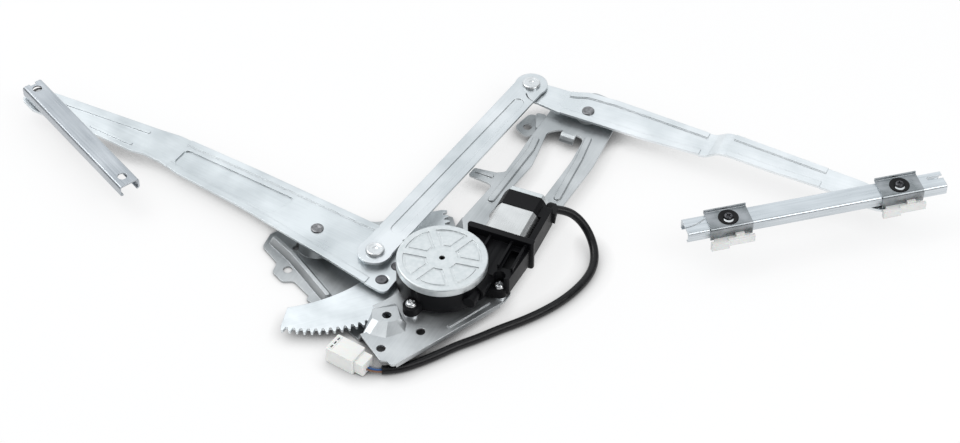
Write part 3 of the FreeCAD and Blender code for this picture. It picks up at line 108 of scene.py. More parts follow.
# The camera, the lamps and the floor.
CAMERA_PLACE = (0.14428, -1.29094, 1.34350)
CAMERA_TILT = math.radians(45.0)
CAMERA_LENS = 93.0
LAMP_AIM = (0.14, 0.05, 0.0)
KEY_PLACE = (-0.9, 0.5, 1.7)
KEY_SIZE = (1.2, 1.2)
FILL_PLACE = (1.2, -0.7, 1.3)
FILL_SIZE = (1.0, 1.0)
FLOOR_REACH = 6.0
FLOOR_LEVEL = -0.0002
FLOOR_WHITE_SHARE = 0.82
# Reaches of the painted shade on the floor near the part.
CONTACT_REACH = 0.014
SHADOW_REACH = 0.05

# What all finishes and turned pieces share.
STREAK_STRETCH = 30.0
RELIEF_DEPTH = 0.0002
SUBSURFACE_DEPTH = 0.002
SHARP_ANGLE = math.radians(38)


# Shader building

def new_group(name, inputs, outputs):
    """A shader node group with typed sockets, and its input and output nodes."""
    group = bpy.data.node_groups.new(name, "ShaderNodeTree")
    for label, kind, default in inputs:
        socket = group.interface.new_socket(label, in_out="INPUT", socket_type=kind)
        if default is not None:
            socket.default_value = default
    for label, kind in outputs:
        group.interface.new_socket(label, in_out="OUTPUT", socket_type=kind)
    return group, group.nodes.new("NodeGroupInput"), group.nodes.new("NodeGroupOutput")


def put(tree, kind, **settings):
    """A new node with the given properties set."""
    node = tree.nodes.new(kind)
    for key, value in settings.items():
        setattr(node, key, value)
    return node


def arithmetic(tree, operation, first, second):
    """A Math node of two values or sockets, and its result."""
    node = put(tree, "ShaderNodeMath", operation=operation)
    for socket, value in zip(node.inputs, (first, second)):
        if isinstance(value, (int, float)):
            socket.default_value = value
        else:
            tree.links.new(value, socket)
    return node.outputs[0]


def blended(tree, factor, first, second):
    """A Mix node of two colours by a factor, and its result."""
    node = put(tree, "ShaderNodeMix", data_type="RGBA")
    for socket, value in zip((node.inputs[0], node.inputs[6], node.inputs[7]), (factor, first, second)):
        if isinstance(value, (int, float, tuple)):
            socket.default_value = value
        else:
            tree.links.new(value, socket)
    return node.outputs[2]


def noise(tree, vector, scale, detail=3.0, roughness=0.5):
    """A Noise Texture's value at a scale given per metre."""
    node = put(tree, "ShaderNodeTexNoise")
    node.inputs["Detail"].default_value = detail
    node.inputs["Roughness"].default_value = roughness
    if isinstance(scale, (int, float)):
        node.inputs["Scale"].default_value = scale
    else:
        tree.links.new(scale, node.inputs["Scale"])
    tree.links.new(vector, node.inputs["Vector"])
    return node.outputs["Fac"]


def ramp(tree, value, start, end, low=0.0, high=1.0, shape="SMOOTHSTEP"):
    """A Map Range node that takes start to low and end to high, and its result."""
    node = put(tree, "ShaderNodeMapRange", interpolation_type=shape)
    for label, bound in (("From Min", start), ("From Max", end), ("To Min", low), ("To Max", high)):
        node.inputs[label].default_value = bound
    tree.links.new(value, node.inputs["Value"])
    return node.outputs["Result"]


def openness(tree, reach):
    """How open a surface lies to its surroundings within a reach, from 0 to 1."""
    node = put(tree, "ShaderNodeAmbientOcclusion", samples=16)
    node.inputs["Distance"].default_value = reach
    return node.outputs["AO"]


def build_cloud_group():
    """Soft clouds of tone with fine streaks: rolled sheet, moulded nylon, rubber."""
    group, source, result = new_group(
        "Clouded Surface",
        [("Colour", "NodeSocketColor", (0.6, 0.6, 0.6, 1)),
         ("Second Colour", "NodeSocketColor", (0.5, 0.5, 0.5, 1)),
         ("Cloud Scale", "NodeSocketFloat", 30.0),
         ("Streak Scale", "NodeSocketFloat", 900.0),
         ("Streak Amount", "NodeSocketFloat", 0.3),
         ("Streak Angle", "NodeSocketFloat", 0.0),
         ("Roughness", "NodeSocketFloat", 0.4),
         ("Roughness Spread", "NodeSocketFloat", 0.15)],
        [("Colour", "NodeSocketColor"), ("Roughness", "NodeSocketFloat"),
         ("Height", "NodeSocketFloat")])
    coords = put(group, "ShaderNodeTexCoord").outputs["Object"]
    clouds = noise(group, coords, source.outputs["Cloud Scale"])
    turn = put(group, "ShaderNodeCombineXYZ")
    group.links.new(source.outputs["Streak Angle"], turn.inputs["Z"])
    stretch = put(group, "ShaderNodeMapping", vector_type="TEXTURE")
    stretch.inputs["Scale"].default_value = (STREAK_STRETCH, 1.0, 1.0)
    group.links.new(turn.outputs[0], stretch.inputs["Rotation"])
    group.links.new(coords, stretch.inputs["Vector"])
    streaks = noise(group, stretch.outputs["Vector"], source.outputs["Streak Scale"], 2.0)
    streaks_part = arithmetic(group, "MULTIPLY", streaks, source.outputs["Streak Amount"])
    rest = arithmetic(group, "SUBTRACT", 1.0, source.outputs["Streak Amount"])
    clouds_part = arithmetic(group, "MULTIPLY", clouds, rest)
    mixed = arithmetic(group, "ADD", streaks_part, clouds_part)
    share = ramp(group, mixed, 0.36, 0.64, shape="LINEAR")
    tone = blended(group, share, source.outputs["Colour"], source.outputs["Second Colour"])
    offset = arithmetic(group, "SUBTRACT", share, 0.5)
    change = arithmetic(group, "MULTIPLY", offset, source.outputs["Roughness Spread"])
    rough = arithmetic(group, "ADD", source.outputs["Roughness"], change)
    group.links.new(tone, result.inputs["Colour"])
    group.links.new(rough, result.inputs["Roughness"])
    group.links.new(mixed, result.inputs["Height"])
    return group


def build_edge_group():
    """Painted highlights on corners: their mask and lighter colour, and the normal of softly rounded
    edges.
    """
    group, source, result = new_group(
        "Painted Edge Highlights",
        [("Colour", "NodeSocketColor", (0.6, 0.6, 0.6, 1)),
         ("Edge Colour", "NodeSocketColor", (0.8, 0.8, 0.8, 1)),
         ("Amount", "NodeSocketFloat", 0.3),
         ("Radius", "NodeSocketFloat", 0.0006),
         ("Grain Scale", "NodeSocketFloat", 250.0)],
        [("Colour", "NodeSocketColor"), ("Mask", "NodeSocketFloat"), ("Normal", "NodeSocketVector")])
    bevel = put(group, "ShaderNodeBevel", samples=8)
    group.links.new(source.outputs["Radius"], bevel.inputs["Radius"])
    geometry = put(group, "ShaderNodeNewGeometry")
    facing = put(group, "ShaderNodeVectorMath", operation="DOT_PRODUCT")
    group.links.new(bevel.outputs["Normal"], facing.inputs[0])
    group.links.new(geometry.outputs["Normal"], facing.inputs[1])
    mask = arithmetic(group, "SUBTRACT", 1.0, facing.outputs["Value"])
    mask = arithmetic(group, "MULTIPLY", mask, 4.0)
    coords = put(group, "ShaderNodeTexCoord").outputs["Object"]
    grain = noise(group, coords, source.outputs["Grain Scale"], 2.0)
    mask = arithmetic(group, "MULTIPLY", mask, grain)
    mask = arithmetic(group, "MULTIPLY", mask, source.outputs["Amount"])
    limit = put(group, "ShaderNodeClamp")
    group.links.new(mask, limit.inputs["Value"])
    # Painted highlight: sharp edges take the lighter Edge Colour, in grainy patches.
    tone = blended(group, limit.outputs[0], source.outputs["Colour"], source.outputs["Edge Colour"])
    group.links.new(tone, result.inputs["Colour"])
    group.links.new(limit.outputs[0], result.inputs["Mask"])
    group.links.new(bevel.outputs["Normal"], result.inputs["Normal"])
    return group


def painted_light_above(tree, tone, low, high, gain):
    """Painted light: the tone, brighter where the sheet rises from one height to another."""
    place = put(tree, "ShaderNodeSeparateXYZ")
    tree.links.new(put(tree, "ShaderNodeTexCoord").outputs["Object"], place.inputs[0])
    lit = put(tree, "ShaderNodeVectorMath", operation="SCALE")
    tree.links.new(tone, lit.inputs[0])
    tree.links.new(ramp(tree, place.outputs["Z"], low, high, 1.0, gain), lit.inputs["Scale"])
    return lit.outputs[0]


def shared_group(name, builder):
    """The named node group, built on first use."""
    return bpy.data.node_groups.get(name) or builder()


def finish_material(name, colour, second, metallic, roughness, spread=0.12, clouds=30.0,
                    streaks=900.0, streak_amount=0.15, streak_angle=0.0, edge=None,
                    edge_amount=0.3, edge_radius=0.0006, bump=0.05, subsurface=0.0,
                    specular=0.5, raised=None):
    """A material from the shared groups, with this finish's own values."""
    material = bpy.data.materials.new(name)
    material.use_nodes = True
    tree = material.node_tree
    shader = tree.nodes["Principled BSDF"]
    shader.inputs["Metallic"].default_value = metallic
    shader.inputs["Specular IOR Level"].default_value = specular
    shader.inputs["Subsurface Weight"].default_value = subsurface
    shader.inputs["Subsurface Scale"].default_value = SUBSURFACE_DEPTH
    cloud = put(tree, "ShaderNodeGroup", node_tree=shared_group("Clouded Surface", build_cloud_group))
    cloud.inputs["Colour"].default_value = (*colour, 1)
    cloud.inputs["Second Colour"].default_value = (*second, 1)
    cloud.inputs["Cloud Scale"].default_value = clouds
    cloud.inputs["Streak Scale"].default_value = streaks
    cloud.inputs["Streak Amount"].default_value = streak_amount
    cloud.inputs["Streak Angle"].default_value = math.radians(streak_angle)
    cloud.inputs["Roughness"].default_value = roughness
    cloud.inputs["Roughness Spread"].default_value = spread
    # Painted highlight: a lighter colour laid on sharp edges.
    edge_highlight = put(tree, "ShaderNodeGroup", node_tree=shared_group("Painted Edge Highlights", build_edge_group))
    edge_highlight.inputs["Edge Colour"].default_value = (*(edge or colour), 1)
    edge_highlight.inputs["Amount"].default_value = edge_amount
    edge_highlight.inputs["Radius"].default_value = edge_radius
    relief = put(tree, "ShaderNodeBump")
    relief.inputs["Strength"].default_value = bump
    relief.inputs["Distance"].default_value = RELIEF_DEPTH
    tone = cloud.outputs["Colour"]
    # Painted light: the tone is scaled brighter with height, lighter on the raised sheet.
    if raised:
        tone = painted_light_above(tree, tone, *raised)
    tree.links.new(tone, edge_highlight.inputs["Colour"])
    tree.links.new(edge_highlight.outputs["Colour"], shader.inputs["Base Color"])
    tree.links.new(cloud.outputs["Roughness"], shader.inputs["Roughness"])
    tree.links.new(cloud.outputs["Height"], relief.inputs["Height"])
    tree.links.new(edge_highlight.outputs["Normal"], relief.inputs["Normal"])
    tree.links.new(relief.outputs["Normal"], shader.inputs["Normal"])
    return material


# Each finish's edge colour is its painted highlight on sharp edges.
FINISHES = {
    # Painted light: the base sheet's tone is brighter on its raised panel than on its low floor.
    "Base Sheet Zinc": dict(colour=(0.37, 0.39, 0.40), second=(0.54, 0.56, 0.57), metallic=0.9,
                            roughness=0.38, clouds=26.0, edge=(0.66, 0.68, 0.69), bump=0.3,
                            streak_angle=62.0, raised=(0.003, 0.0115, 1.15)),
    # Lit and shaded copies of one zinc: the left arm's tone is painted darker as painted shade, the
    # right arm's lighter as painted light.
    "Left Arm Zinc": dict(colour=(0.54, 0.58, 0.60), second=(0.74, 0.78, 0.80), metallic=0.95,
                          roughness=0.33, clouds=24.0, edge=(0.9, 0.91, 0.92), bump=0.25,
                          edge_radius=0.0004, edge_amount=0.15, streak_angle=147.0),
    "Right Arm Zinc": dict(colour=(0.69, 0.73, 0.75), second=(0.90, 0.93, 0.95), metallic=0.95,
                           roughness=0.33, clouds=24.0, edge=(0.9, 0.91, 0.92), bump=0.25,
                           edge_radius=0.0004, edge_amount=0.15, streak_angle=-24.5),
    "Link Strip Zinc": dict(colour=(0.60, 0.64, 0.66), second=(0.80, 0.83, 0.85), metallic=0.95,
                            roughness=0.34, clouds=22.0, edge=(0.9, 0.9, 0.9), bump=0.25,
                            streak_angle=57.0),
    "Sector Steel": dict(colour=(0.62, 0.66, 0.68), second=(0.82, 0.86, 0.88), metallic=0.95,
                         roughness=0.38, clouds=34.0, edge=(0.85, 0.85, 0.85), bump=0.2,
                         streak_angle=20.0),
    "Pivot Rivet Steel": dict(colour=(0.16, 0.16, 0.165), second=(0.32, 0.32, 0.33), metallic=1.0,
                              roughness=0.34, clouds=500.0, edge=(0.6, 0.6, 0.6),
                              edge_radius=0.0003, bump=0.3),
    "Link Rivet Zinc": dict(colour=(0.66, 0.68, 0.69), second=(0.78, 0.80, 0.81), metallic=1.0,
                            roughness=0.30, clouds=120.0, edge=(0.9, 0.9, 0.9),
                            edge_radius=0.0003, bump=0.03),
    "Pin Steel": dict(colour=(0.34, 0.35, 0.36), second=(0.50, 0.51, 0.52), metallic=1.0,
                      roughness=0.34, clouds=300.0, edge=(0.8, 0.8, 0.8), bump=0.1),
    # Painted shade: the sector rivets are near black, standing in for the shade of the dimple round
    # them.
    "Sector Rivet Steel In Painted Shade": dict(colour=(0.07, 0.07, 0.075), second=(0.18, 0.18, 0.19), metallic=1.0,
                               roughness=0.42, clouds=200.0, edge=(0.4, 0.4, 0.4), bump=0.2),
    # Lit and shaded copies of one steel: the left rail's tone is painted darker as painted shade, the
    # right rail's lighter as painted light.
    "Left Rail Steel": dict(colour=(0.39, 0.42, 0.45), second=(0.54, 0.57, 0.60), metallic=0.95,
                            roughness=0.32, clouds=18.0, edge=(0.86, 0.87, 0.88), bump=0.2,
                            streaks=700.0, streak_amount=0.45, streak_angle=-52.2),
    "Right Rail Steel": dict(colour=(0.53, 0.57, 0.60), second=(0.73, 0.77, 0.80), metallic=0.95,
                             roughness=0.32, clouds=18.0, edge=(0.86, 0.87, 0.88), bump=0.2,
                             streaks=700.0, streak_amount=0.45, streak_angle=14.65),
    "Clip Spring Steel": dict(colour=(0.22, 0.24, 0.25), second=(0.40, 0.42, 0.44), metallic=1.0,
                              roughness=0.30, clouds=80.0, edge=(0.9, 0.9, 0.9), bump=0.1,
                              edge_radius=0.0003, edge_amount=0.1, streak_angle=14.65),
    # Painted shade: the studs are near black, standing in for the shade of the recess they sit in.
    "Stud Steel In Painted Shade": dict(colour=(0.05, 0.05, 0.055), second=(0.14, 0.14, 0.15), metallic=1.0,
                       roughness=0.36, clouds=300.0, edge=(0.5, 0.5, 0.5), bump=0.1,
                       edge_radius=0.0003),
    "Roller Nylon": dict(colour=(0.08, 0.08, 0.08), second=(0.12, 0.12, 0.12), metallic=0.0,
                         roughness=0.5, edge_amount=0.1, bump=0.05),
    "White Nylon": dict(colour=(0.72, 0.72, 0.70), second=(0.80, 0.80, 0.78), metallic=0.0,
                        roughness=0.42, edge_amount=0.0, bump=0.05, subsurface=0.1),
    "Black Rubber": dict(colour=(0.005, 0.005, 0.006), second=(0.010, 0.010, 0.011), metallic=0.0,
                         roughness=0.55, edge_amount=0.1, bump=0.2, specular=0.2),
    "Housing Nylon": dict(colour=(0.003, 0.003, 0.004), second=(0.006, 0.006, 0.007), metallic=0.0,
                          roughness=0.42, edge=(0.03, 0.03, 0.03), bump=0.3, specular=0.14),
    "Cover Silver": dict(colour=(0.64, 0.68, 0.69), second=(0.72, 0.75, 0.76), metallic=0.9,
                         roughness=0.40, clouds=350.0, edge=(0.8, 0.8, 0.8), bump=0.12),
    "Screw Steel": dict(colour=(0.66, 0.67, 0.68), second=(0.80, 0.81, 0.82), metallic=1.0,
                        roughness=0.24, clouds=200.0, edge=(0.9, 0.9, 0.9), bump=0.1,
                        edge_radius=0.0002),
    "Can Steel": dict(colour=(0.60, 0.61, 0.61), second=(0.74, 0.75, 0.75), metallic=0.95,
                      roughness=0.28, clouds=40.0, edge=(0.88, 0.87, 0.85), bump=0.15,
                      streak_angle=67.0),
    "Gear Steel": dict(colour=(0.34, 0.34, 0.34), second=(0.46, 0.46, 0.46), metallic=1.0,
                       roughness=0.36, clouds=200.0, edge=(0.7, 0.7, 0.7), bump=0.1),
    "Wheel Nylon": dict(colour=(0.72, 0.68, 0.56), second=(0.78, 0.74, 0.63), metallic=0.0,
                        roughness=0.45, edge_amount=0.0, bump=0.05),
    "Copper": dict(colour=(0.55, 0.27, 0.14), second=(0.70, 0.38, 0.22), metallic=1.0,
                   roughness=0.35, clouds=300.0, edge_amount=0.1, bump=0.1),
    "Ferrite": dict(colour=(0.05, 0.05, 0.055), second=(0.08, 0.08, 0.085), metallic=0.0,
                    roughness=0.6, edge_amount=0.1, bump=0.2),
    "Sleeve Black": dict(colour=(0.003, 0.003, 0.004), second=(0.008, 0.008, 0.009), metallic=0.0,
                         roughness=0.34, clouds=260.0, edge_amount=0.0, bump=0.4, specular=0.3),
    "Plug White": dict(colour=(0.78, 0.78, 0.75), second=(0.84, 0.84, 0.81), metallic=0.0,
                       roughness=0.40, edge_amount=0.0, bump=0.05, subsurface=0.1),
    "Wire Blue": dict(colour=(0.03, 0.10, 0.30), second=(0.05, 0.14, 0.36), metallic=0.0,
                      roughness=0.4, edge_amount=0.0, bump=0.05),
    "Wire Brown": dict(colour=(0.16, 0.08, 0.05), second=(0.21, 0.11, 0.07), metallic=0.0,
                       roughness=0.4, edge_amount=0.0, bump=0.05),
    "Wire Grey": dict(colour=(0.18, 0.20, 0.24), second=(0.24, 0.26, 0.30), metallic=0.0,
                      roughness=0.4, edge_amount=0.0, bump=0.05),
}

NODE_FINISH = {
    "Base Sheet Zinc": ("base_plate", "ear_bracket"),
    "Left Arm Zinc": ("left_lift_arm",),
    "Right Arm Zinc": ("right_lift_arm",),
    "Link Strip Zinc": ("link_bar",),
    "Sector Steel": ("sector_gear",),
    "Sector Rivet Steel In Painted Shade": ("sector_rivets",),
    "Pin Steel": ("left_roller_pin", "right_roller_pin"),
    "Left Rail Steel": ("left_glass_rail",),
    "Right Rail Steel": ("right_glass_rail",),
    "Clip Spring Steel": ("clip_near", "clip_far"),
    "Roller Nylon": ("left_roller", "right_roller"),
    "White Nylon": ("clip_pad_near", "clip_pad_far"),
    "Black Rubber": ("damper_ring", "cable_gland"),
    "Housing Nylon": ("gearbox_housing", "motor_band"),
    "Cover Silver": ("gearbox_cover", "motor_cap"),
    "Screw Steel": ("motor_spacers",),
    "Can Steel": ("motor_can",),
    "Gear Steel": ("output_pinion", "armature_shaft", "armature_core"),
    "Wheel Nylon": ("worm_wheel",),
    "Copper": ("commutator",),
    "Ferrite": ("motor_magnets", "brushes"),
    "Plug White": ("plug_housing", "plug_rear"),
}


def finish(name):
    """The named material, built on first use."""
    return bpy.data.materials.get(name) or finish_material(name, **FINISHES[name])


def dress(node, name):
    """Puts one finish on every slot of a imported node."""
    piece = NODES[node]
    if not piece.data.materials:
        piece.data.materials.append(None)
    for slot in piece.material_slots:
        slot.link = "OBJECT"
        slot.material = finish(name)


# Turned and headed pieces

def turned(shell, centre, profile, count=48):
    """Adds a piece turned about a vertical axis; profile is (radius, height) from the foot up."""
    rings = []
    for radius, height in profile:
        ring = []
        for step in range(count):
            angle = 2 * math.pi * step / count
            ring.append(shell.verts.new((centre[0] + radius * math.cos(angle),
                                         centre[1] + radius * math.sin(angle), height)))
        rings.append(ring)
    for low, high in zip(rings, rings[1:]):
        for step in range(count):
            ahead = (step + 1) % count
            shell.faces.new((low[step], low[ahead], high[ahead], high[step]))
    shell.faces.new(rings[0][::-1])
    return rings[-1]


def cross_recess(shell, centre, rim, reach, half_width, depth, turn):
    """Closes a turned head's rim with a flat face that has a cross-shaped recess in it."""
    far, near = reach, half_width
    corners = ((far, -near), (far, near), (near, near), (near, far), (-near, far), (-near, near),
               (-far, near), (-far, -near), (-near, -near), (-near, -far), (near, -far), (near, -near))
    level = rim[0].co.z
    mouth, floor = [], []
    for x, y in corners:
        for loop, shrink, drop in ((mouth, 1.0, 0.0), (floor, 0.72, depth)):
            across = shrink * (x * math.cos(turn) - y * math.sin(turn))
            along = shrink * (x * math.sin(turn) + y * math.cos(turn))
            loop.append(shell.verts.new((centre[0] + across, centre[1] + along, level - drop)))
    edges = []
    for loop in (rim, mouth):
        for first, second in zip(loop, loop[1:] + loop[:1]):
            edges.append(shell.edges.get((first, second)) or shell.edges.new((first, second)))
    bmesh.ops.triangle_fill(shell, edges=edges, use_beauty=True)
    for step in range(len(mouth)):
        ahead = (step + 1) % len(mouth)
        shell.faces.new((mouth[step], mouth[ahead], floor[ahead], floor[step]))
    shell.faces.new(floor)


def head_profile(head, under, top, groove):
    """The outline of a rolled rivet head: rounded rim, shallow groove, raised middle."""
    tall = top - under
    return [(0.96 * head, under), (head, under + 0.15 * tall), (head, under + 0.55 * tall),
            (0.96 * head, under + 0.80 * tall), (0.88 * head, under + 0.94 * tall),
            (0.78 * head, top), (groove * head, top), ((groove - 0.06) * head, top - 0.10 * tall),
            (0.30 * head, top - 0.08 * tall), (0.24 * head, top - 0.22 * tall)]


def crescent(shell, centre, inner, outer, low, high, start, end, count=16):
    """Adds a flat crescent between two angles, widest in its middle, with a sloped top; it carries a
    painted highlight.
    """
    rails = [[], [], [], []]
    for step in range(count + 1):
        share = step / count
        angle = start + (end - start) * share
        reach = outer - (outer - inner) * 0.9 * abs(2 * share - 1) ** 2
        for rail, radius, height in zip(rails, (inner, reach, reach - CRESCENT_SLOPE, inner),
                                        (low, low, high - CRESCENT_SLOPE, high)):
            rail.append(shell.verts.new((centre[0] + radius * math.cos(angle),
                                         centre[1] + radius * math.sin(angle), height)))
    for first, second in zip(rails, rails[1:] + rails[:1]):
        for step in range(count):
            shell.faces.new((first[step], first[step + 1], second[step + 1], second[step]))
    for step in (0, count):
        shell.faces.new([rail[step] for rail in rails])


def slotted_bezel(shell, centre, angle, level):
    """Adds a thin bezel with three slots through it, lying on a face."""
    def corner_loop(x, y, half, height):
        loop = []
        for side, end in ((-1, -1), (1, -1), (1, 1), (-1, 1)):
            across, along = x + side * half[0], y + end * half[1]
            loop.append(shell.verts.new((
                centre[0] + across * math.cos(angle) - along * math.sin(angle),
                centre[1] + across * math.sin(angle) + along * math.cos(angle), height)))
        return loop

    top_edges = []
    for y, half in ((0.0, BEZEL_HALF), (-SLOT_STEP, SLOT_HALF), (0.0, SLOT_HALF),
                    (SLOT_STEP, SLOT_HALF)):
        top = corner_loop(BEZEL_AT, y, half, level + BEZEL_HEIGHT)
        foot = corner_loop(BEZEL_AT, y, half, level)
        for step in range(4):
            ahead = (step + 1) % 4
            shell.faces.new((top[step], top[ahead], foot[ahead], foot[step]))
            top_edges.append(shell.edges.get((top[step], top[ahead])))
        if half is SLOT_HALF:
            shell.faces.new(foot).material_index = 1
    bmesh.ops.triangle_fill(shell, edges=top_edges, use_beauty=True)


def round_curve(name, diameter, resolution):
    """A curve whose splines show as capped round tubes."""
    curve = bpy.data.curves.new(name, "CURVE")
    curve.dimensions = "3D"
    curve.bevel_depth = diameter / 2
    curve.bevel_resolution = resolution
    curve.use_fill_caps = True
    return curve


def add_spline(curve, places):
    """Adds a smooth open spline with the places as its control points."""
    spline = curve.splines.new("NURBS")
    spline.points.add(len(places) - 1)
    for point, place in zip(spline.points, places):
        point.co = (*place, 1.0)
    spline.order_u = 3
    spline.use_endpoint_u = True
    return spline


def add_piece(context, name, shell, finish_name, body, nodes):
    """Makes the built shell a piece that stands for its nodes and rides on their body."""
    bmesh.ops.recalc_face_normals(shell, faces=shell.faces)
    mesh = bpy.data.meshes.new(name)
    shell.to_mesh(mesh)
    shell.free()
    mesh.shade_smooth()
    mesh.set_sharp_from_angle(angle=SHARP_ANGLE)
    mesh.materials.append(finish(finish_name))
    piece = bpy.data.objects.new(name, mesh)
    context.collection.objects.link(piece)
    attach(piece, body)
    if nodes:
        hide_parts(*nodes)
    return piece


def box_centre(node):
    """A node's middle in plan, with its lowest and highest level."""
    low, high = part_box(node)
    return ((low[0] + high[0]) / 2, (low[1] + high[1]) / 2), low[2], high[2]


class StudioSettings(bpy.types.PropertyGroup):
    """Levels of the lamps and the room, and the floor's colour"""
    floor_colour: bpy.props.FloatVectorProperty(
        name="Floor", description="Colour of the pale floor", subtype="COLOR", size=3,
        default=(0.92, 0.92, 0.92), min=0.0, max=1.0)
    key_power: bpy.props.FloatProperty(
        name="Key Light", description="Power of the large light behind the part", unit="POWER",
        default=13.0, min=0.0)
    fill_power: bpy.props.FloatProperty(
        name="Fill Light", description="Power of the light at the front left", unit="POWER",
        default=9.0, min=0.0)
    world_level: bpy.props.FloatProperty(
        name="Room Light", description="Level of the even light of the room",
        default=0.70, min=0.0)


class LeadSettings(bpy.types.PropertyGroup):
    """Sizes of the lead's sleeve and wires"""
    sleeve_diameter: bpy.props.FloatProperty(
        name="Sleeve Diameter", description="Outer diameter of the lead's sleeve",
        unit="LENGTH", default=0.0066, min=0.001)
    sleeve_length: bpy.props.FloatProperty(
        name="Sleeve Length", description="Length of the lead from the gland to the sleeve's end",
        unit="LENGTH", default=0.2555, min=0.05)
    wire_diameter: bpy.props.FloatProperty(
        name="Wire Diameter", description="Diameter of each of the three wires",
        unit="LENGTH", default=0.0015, min=0.0005)
    wire_spacing: bpy.props.FloatProperty(
        name="Wire Spacing", description="Distance between neighbouring wires",
        unit="LENGTH", default=0.00175, min=0.0005)


class REGULATOR_OT_finishes(bpy.types.Operator):
    """Put the metal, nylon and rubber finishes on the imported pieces"""
    bl_idname = "regulator.finishes"
    bl_label = "Piece Finishes"

    def execute(self, context):
        for name, nodes in NODE_FINISH.items():
            for node in nodes:
                dress(node, name)
        return {"FINISHED"}


class REGULATOR_OT_rivets(bpy.types.Operator):
    """Turn the rivets of the pivots and the link with rolled heads"""
    bl_idname = "regulator.rivets"
    bl_label = "Rivets"

    def execute(self, context):
        for node in ("left_pivot_rivet", "right_pivot_rivet"):
            centre, low, top = box_centre(node)
            under = top - PIVOT_HEAD_HEIGHT
            profile = [(PIVOT_SHANK, low), (PIVOT_SHANK, under)]
            profile += head_profile(PIVOT_HEAD, under, top, 0.62)
            self.rivet(context, node, centre, profile, "Pivot Rivet Steel", "root")
        centre, low, top = box_centre("link_lower_rivet")
        under = top - LINK_HEAD_HEIGHT
        profile = [(LINK_SHANK, low), (LINK_SHANK, LINK_SPACER_LOW), (LINK_SPACER, LINK_SPACER_LOW),
                   (LINK_SPACER, LINK_SPACER_HIGH), (LINK_SHANK, LINK_SPACER_HIGH),
                   (LINK_SHANK, under)]
        profile += head_profile(LINK_HEAD, under, top, 0.72)
        self.rivet(context, "link_lower_rivet", centre, profile, "Link Rivet Zinc", "left_arm")
        centre, low, top = box_centre("link_upper_rivet")
        under = top - LINK_HEAD_HEIGHT
        profile = [(LINK_SHANK, low), (LINK_SHANK, under)]
        profile += head_profile(LINK_HEAD, under, top, 0.72)
        self.rivet(context, "link_upper_rivet", centre, profile, "Link Rivet Zinc", "link")
        return {"FINISHED"}

    def rivet(self, context, node, centre, profile, finish_name, body):
        """One turned rivet in place of its node."""
        shell = bmesh.new()
        rim = turned(shell, centre, profile)
        shell.faces.new(rim)
        add_piece(context, node + "_turned", shell, finish_name, body, [node])


class REGULATOR_OT_screws(bpy.types.Operator):
    """Set the motor screws and the clip studs with cross recesses"""
    bl_idname = "regulator.screws"
    bl_label = "Screws and Studs"

    def execute(self, context):
        low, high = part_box("motor_screws")
        under = high[2] - SCREW_HEAD_HEIGHT
        shell = bmesh.new()
        for index, place in enumerate(SCREW_PLACES):
            rim = turned(shell, place, [
                (SCREW_SHANK, low[2]), (SCREW_SHANK, under), (SCREW_HEAD, under),
                (SCREW_HEAD, under + 0.35 * SCREW_HEAD_HEIGHT),
                (0.94 * SCREW_HEAD, under + 0.62 * SCREW_HEAD_HEIGHT),
                (0.82 * SCREW_HEAD, under + 0.84 * SCREW_HEAD_HEIGHT),
                (0.68 * SCREW_HEAD, high[2])])
            cross_recess(shell, place, rim, 0.55 * SCREW_HEAD, 0.15 * SCREW_HEAD,
                         0.5 * SCREW_HEAD_HEIGHT, SCREW_FIRST_TURN + index)
        add_piece(context, "motor_screw_heads", shell, "Screw Steel", "root", ["motor_screws"])
        low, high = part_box("clip_studs")
        shell = bmesh.new()
        for index, place in enumerate(((low[0] + STUD_FOOT, low[1] + STUD_FOOT),
                                       (high[0] - STUD_FOOT, high[1] - STUD_FOOT))):
            rim = turned(shell, place, [
                (STUD_FOOT, low[2]), (STUD_FOOT, low[2] + STUD_FOOT_HEIGHT),
                (STUD_RADIUS, low[2] + STUD_FOOT_HEIGHT), (STUD_RADIUS, high[2] - STUD_CROWN),
                (0.93 * STUD_RADIUS, high[2] - 0.5 * STUD_CROWN),
                (0.84 * STUD_RADIUS, high[2] - 0.2 * STUD_CROWN), (0.72 * STUD_RADIUS, high[2])])
            cross_recess(shell, place, rim, 0.58 * STUD_RADIUS, 0.16 * STUD_RADIUS, STUD_RECESS,
                         STUD_FIRST_TURN + index)
        add_piece(context, "clip_stud_heads", shell, "Stud Steel In Painted Shade", "right_rail", ["clip_studs"])
        return {"FINISHED"}


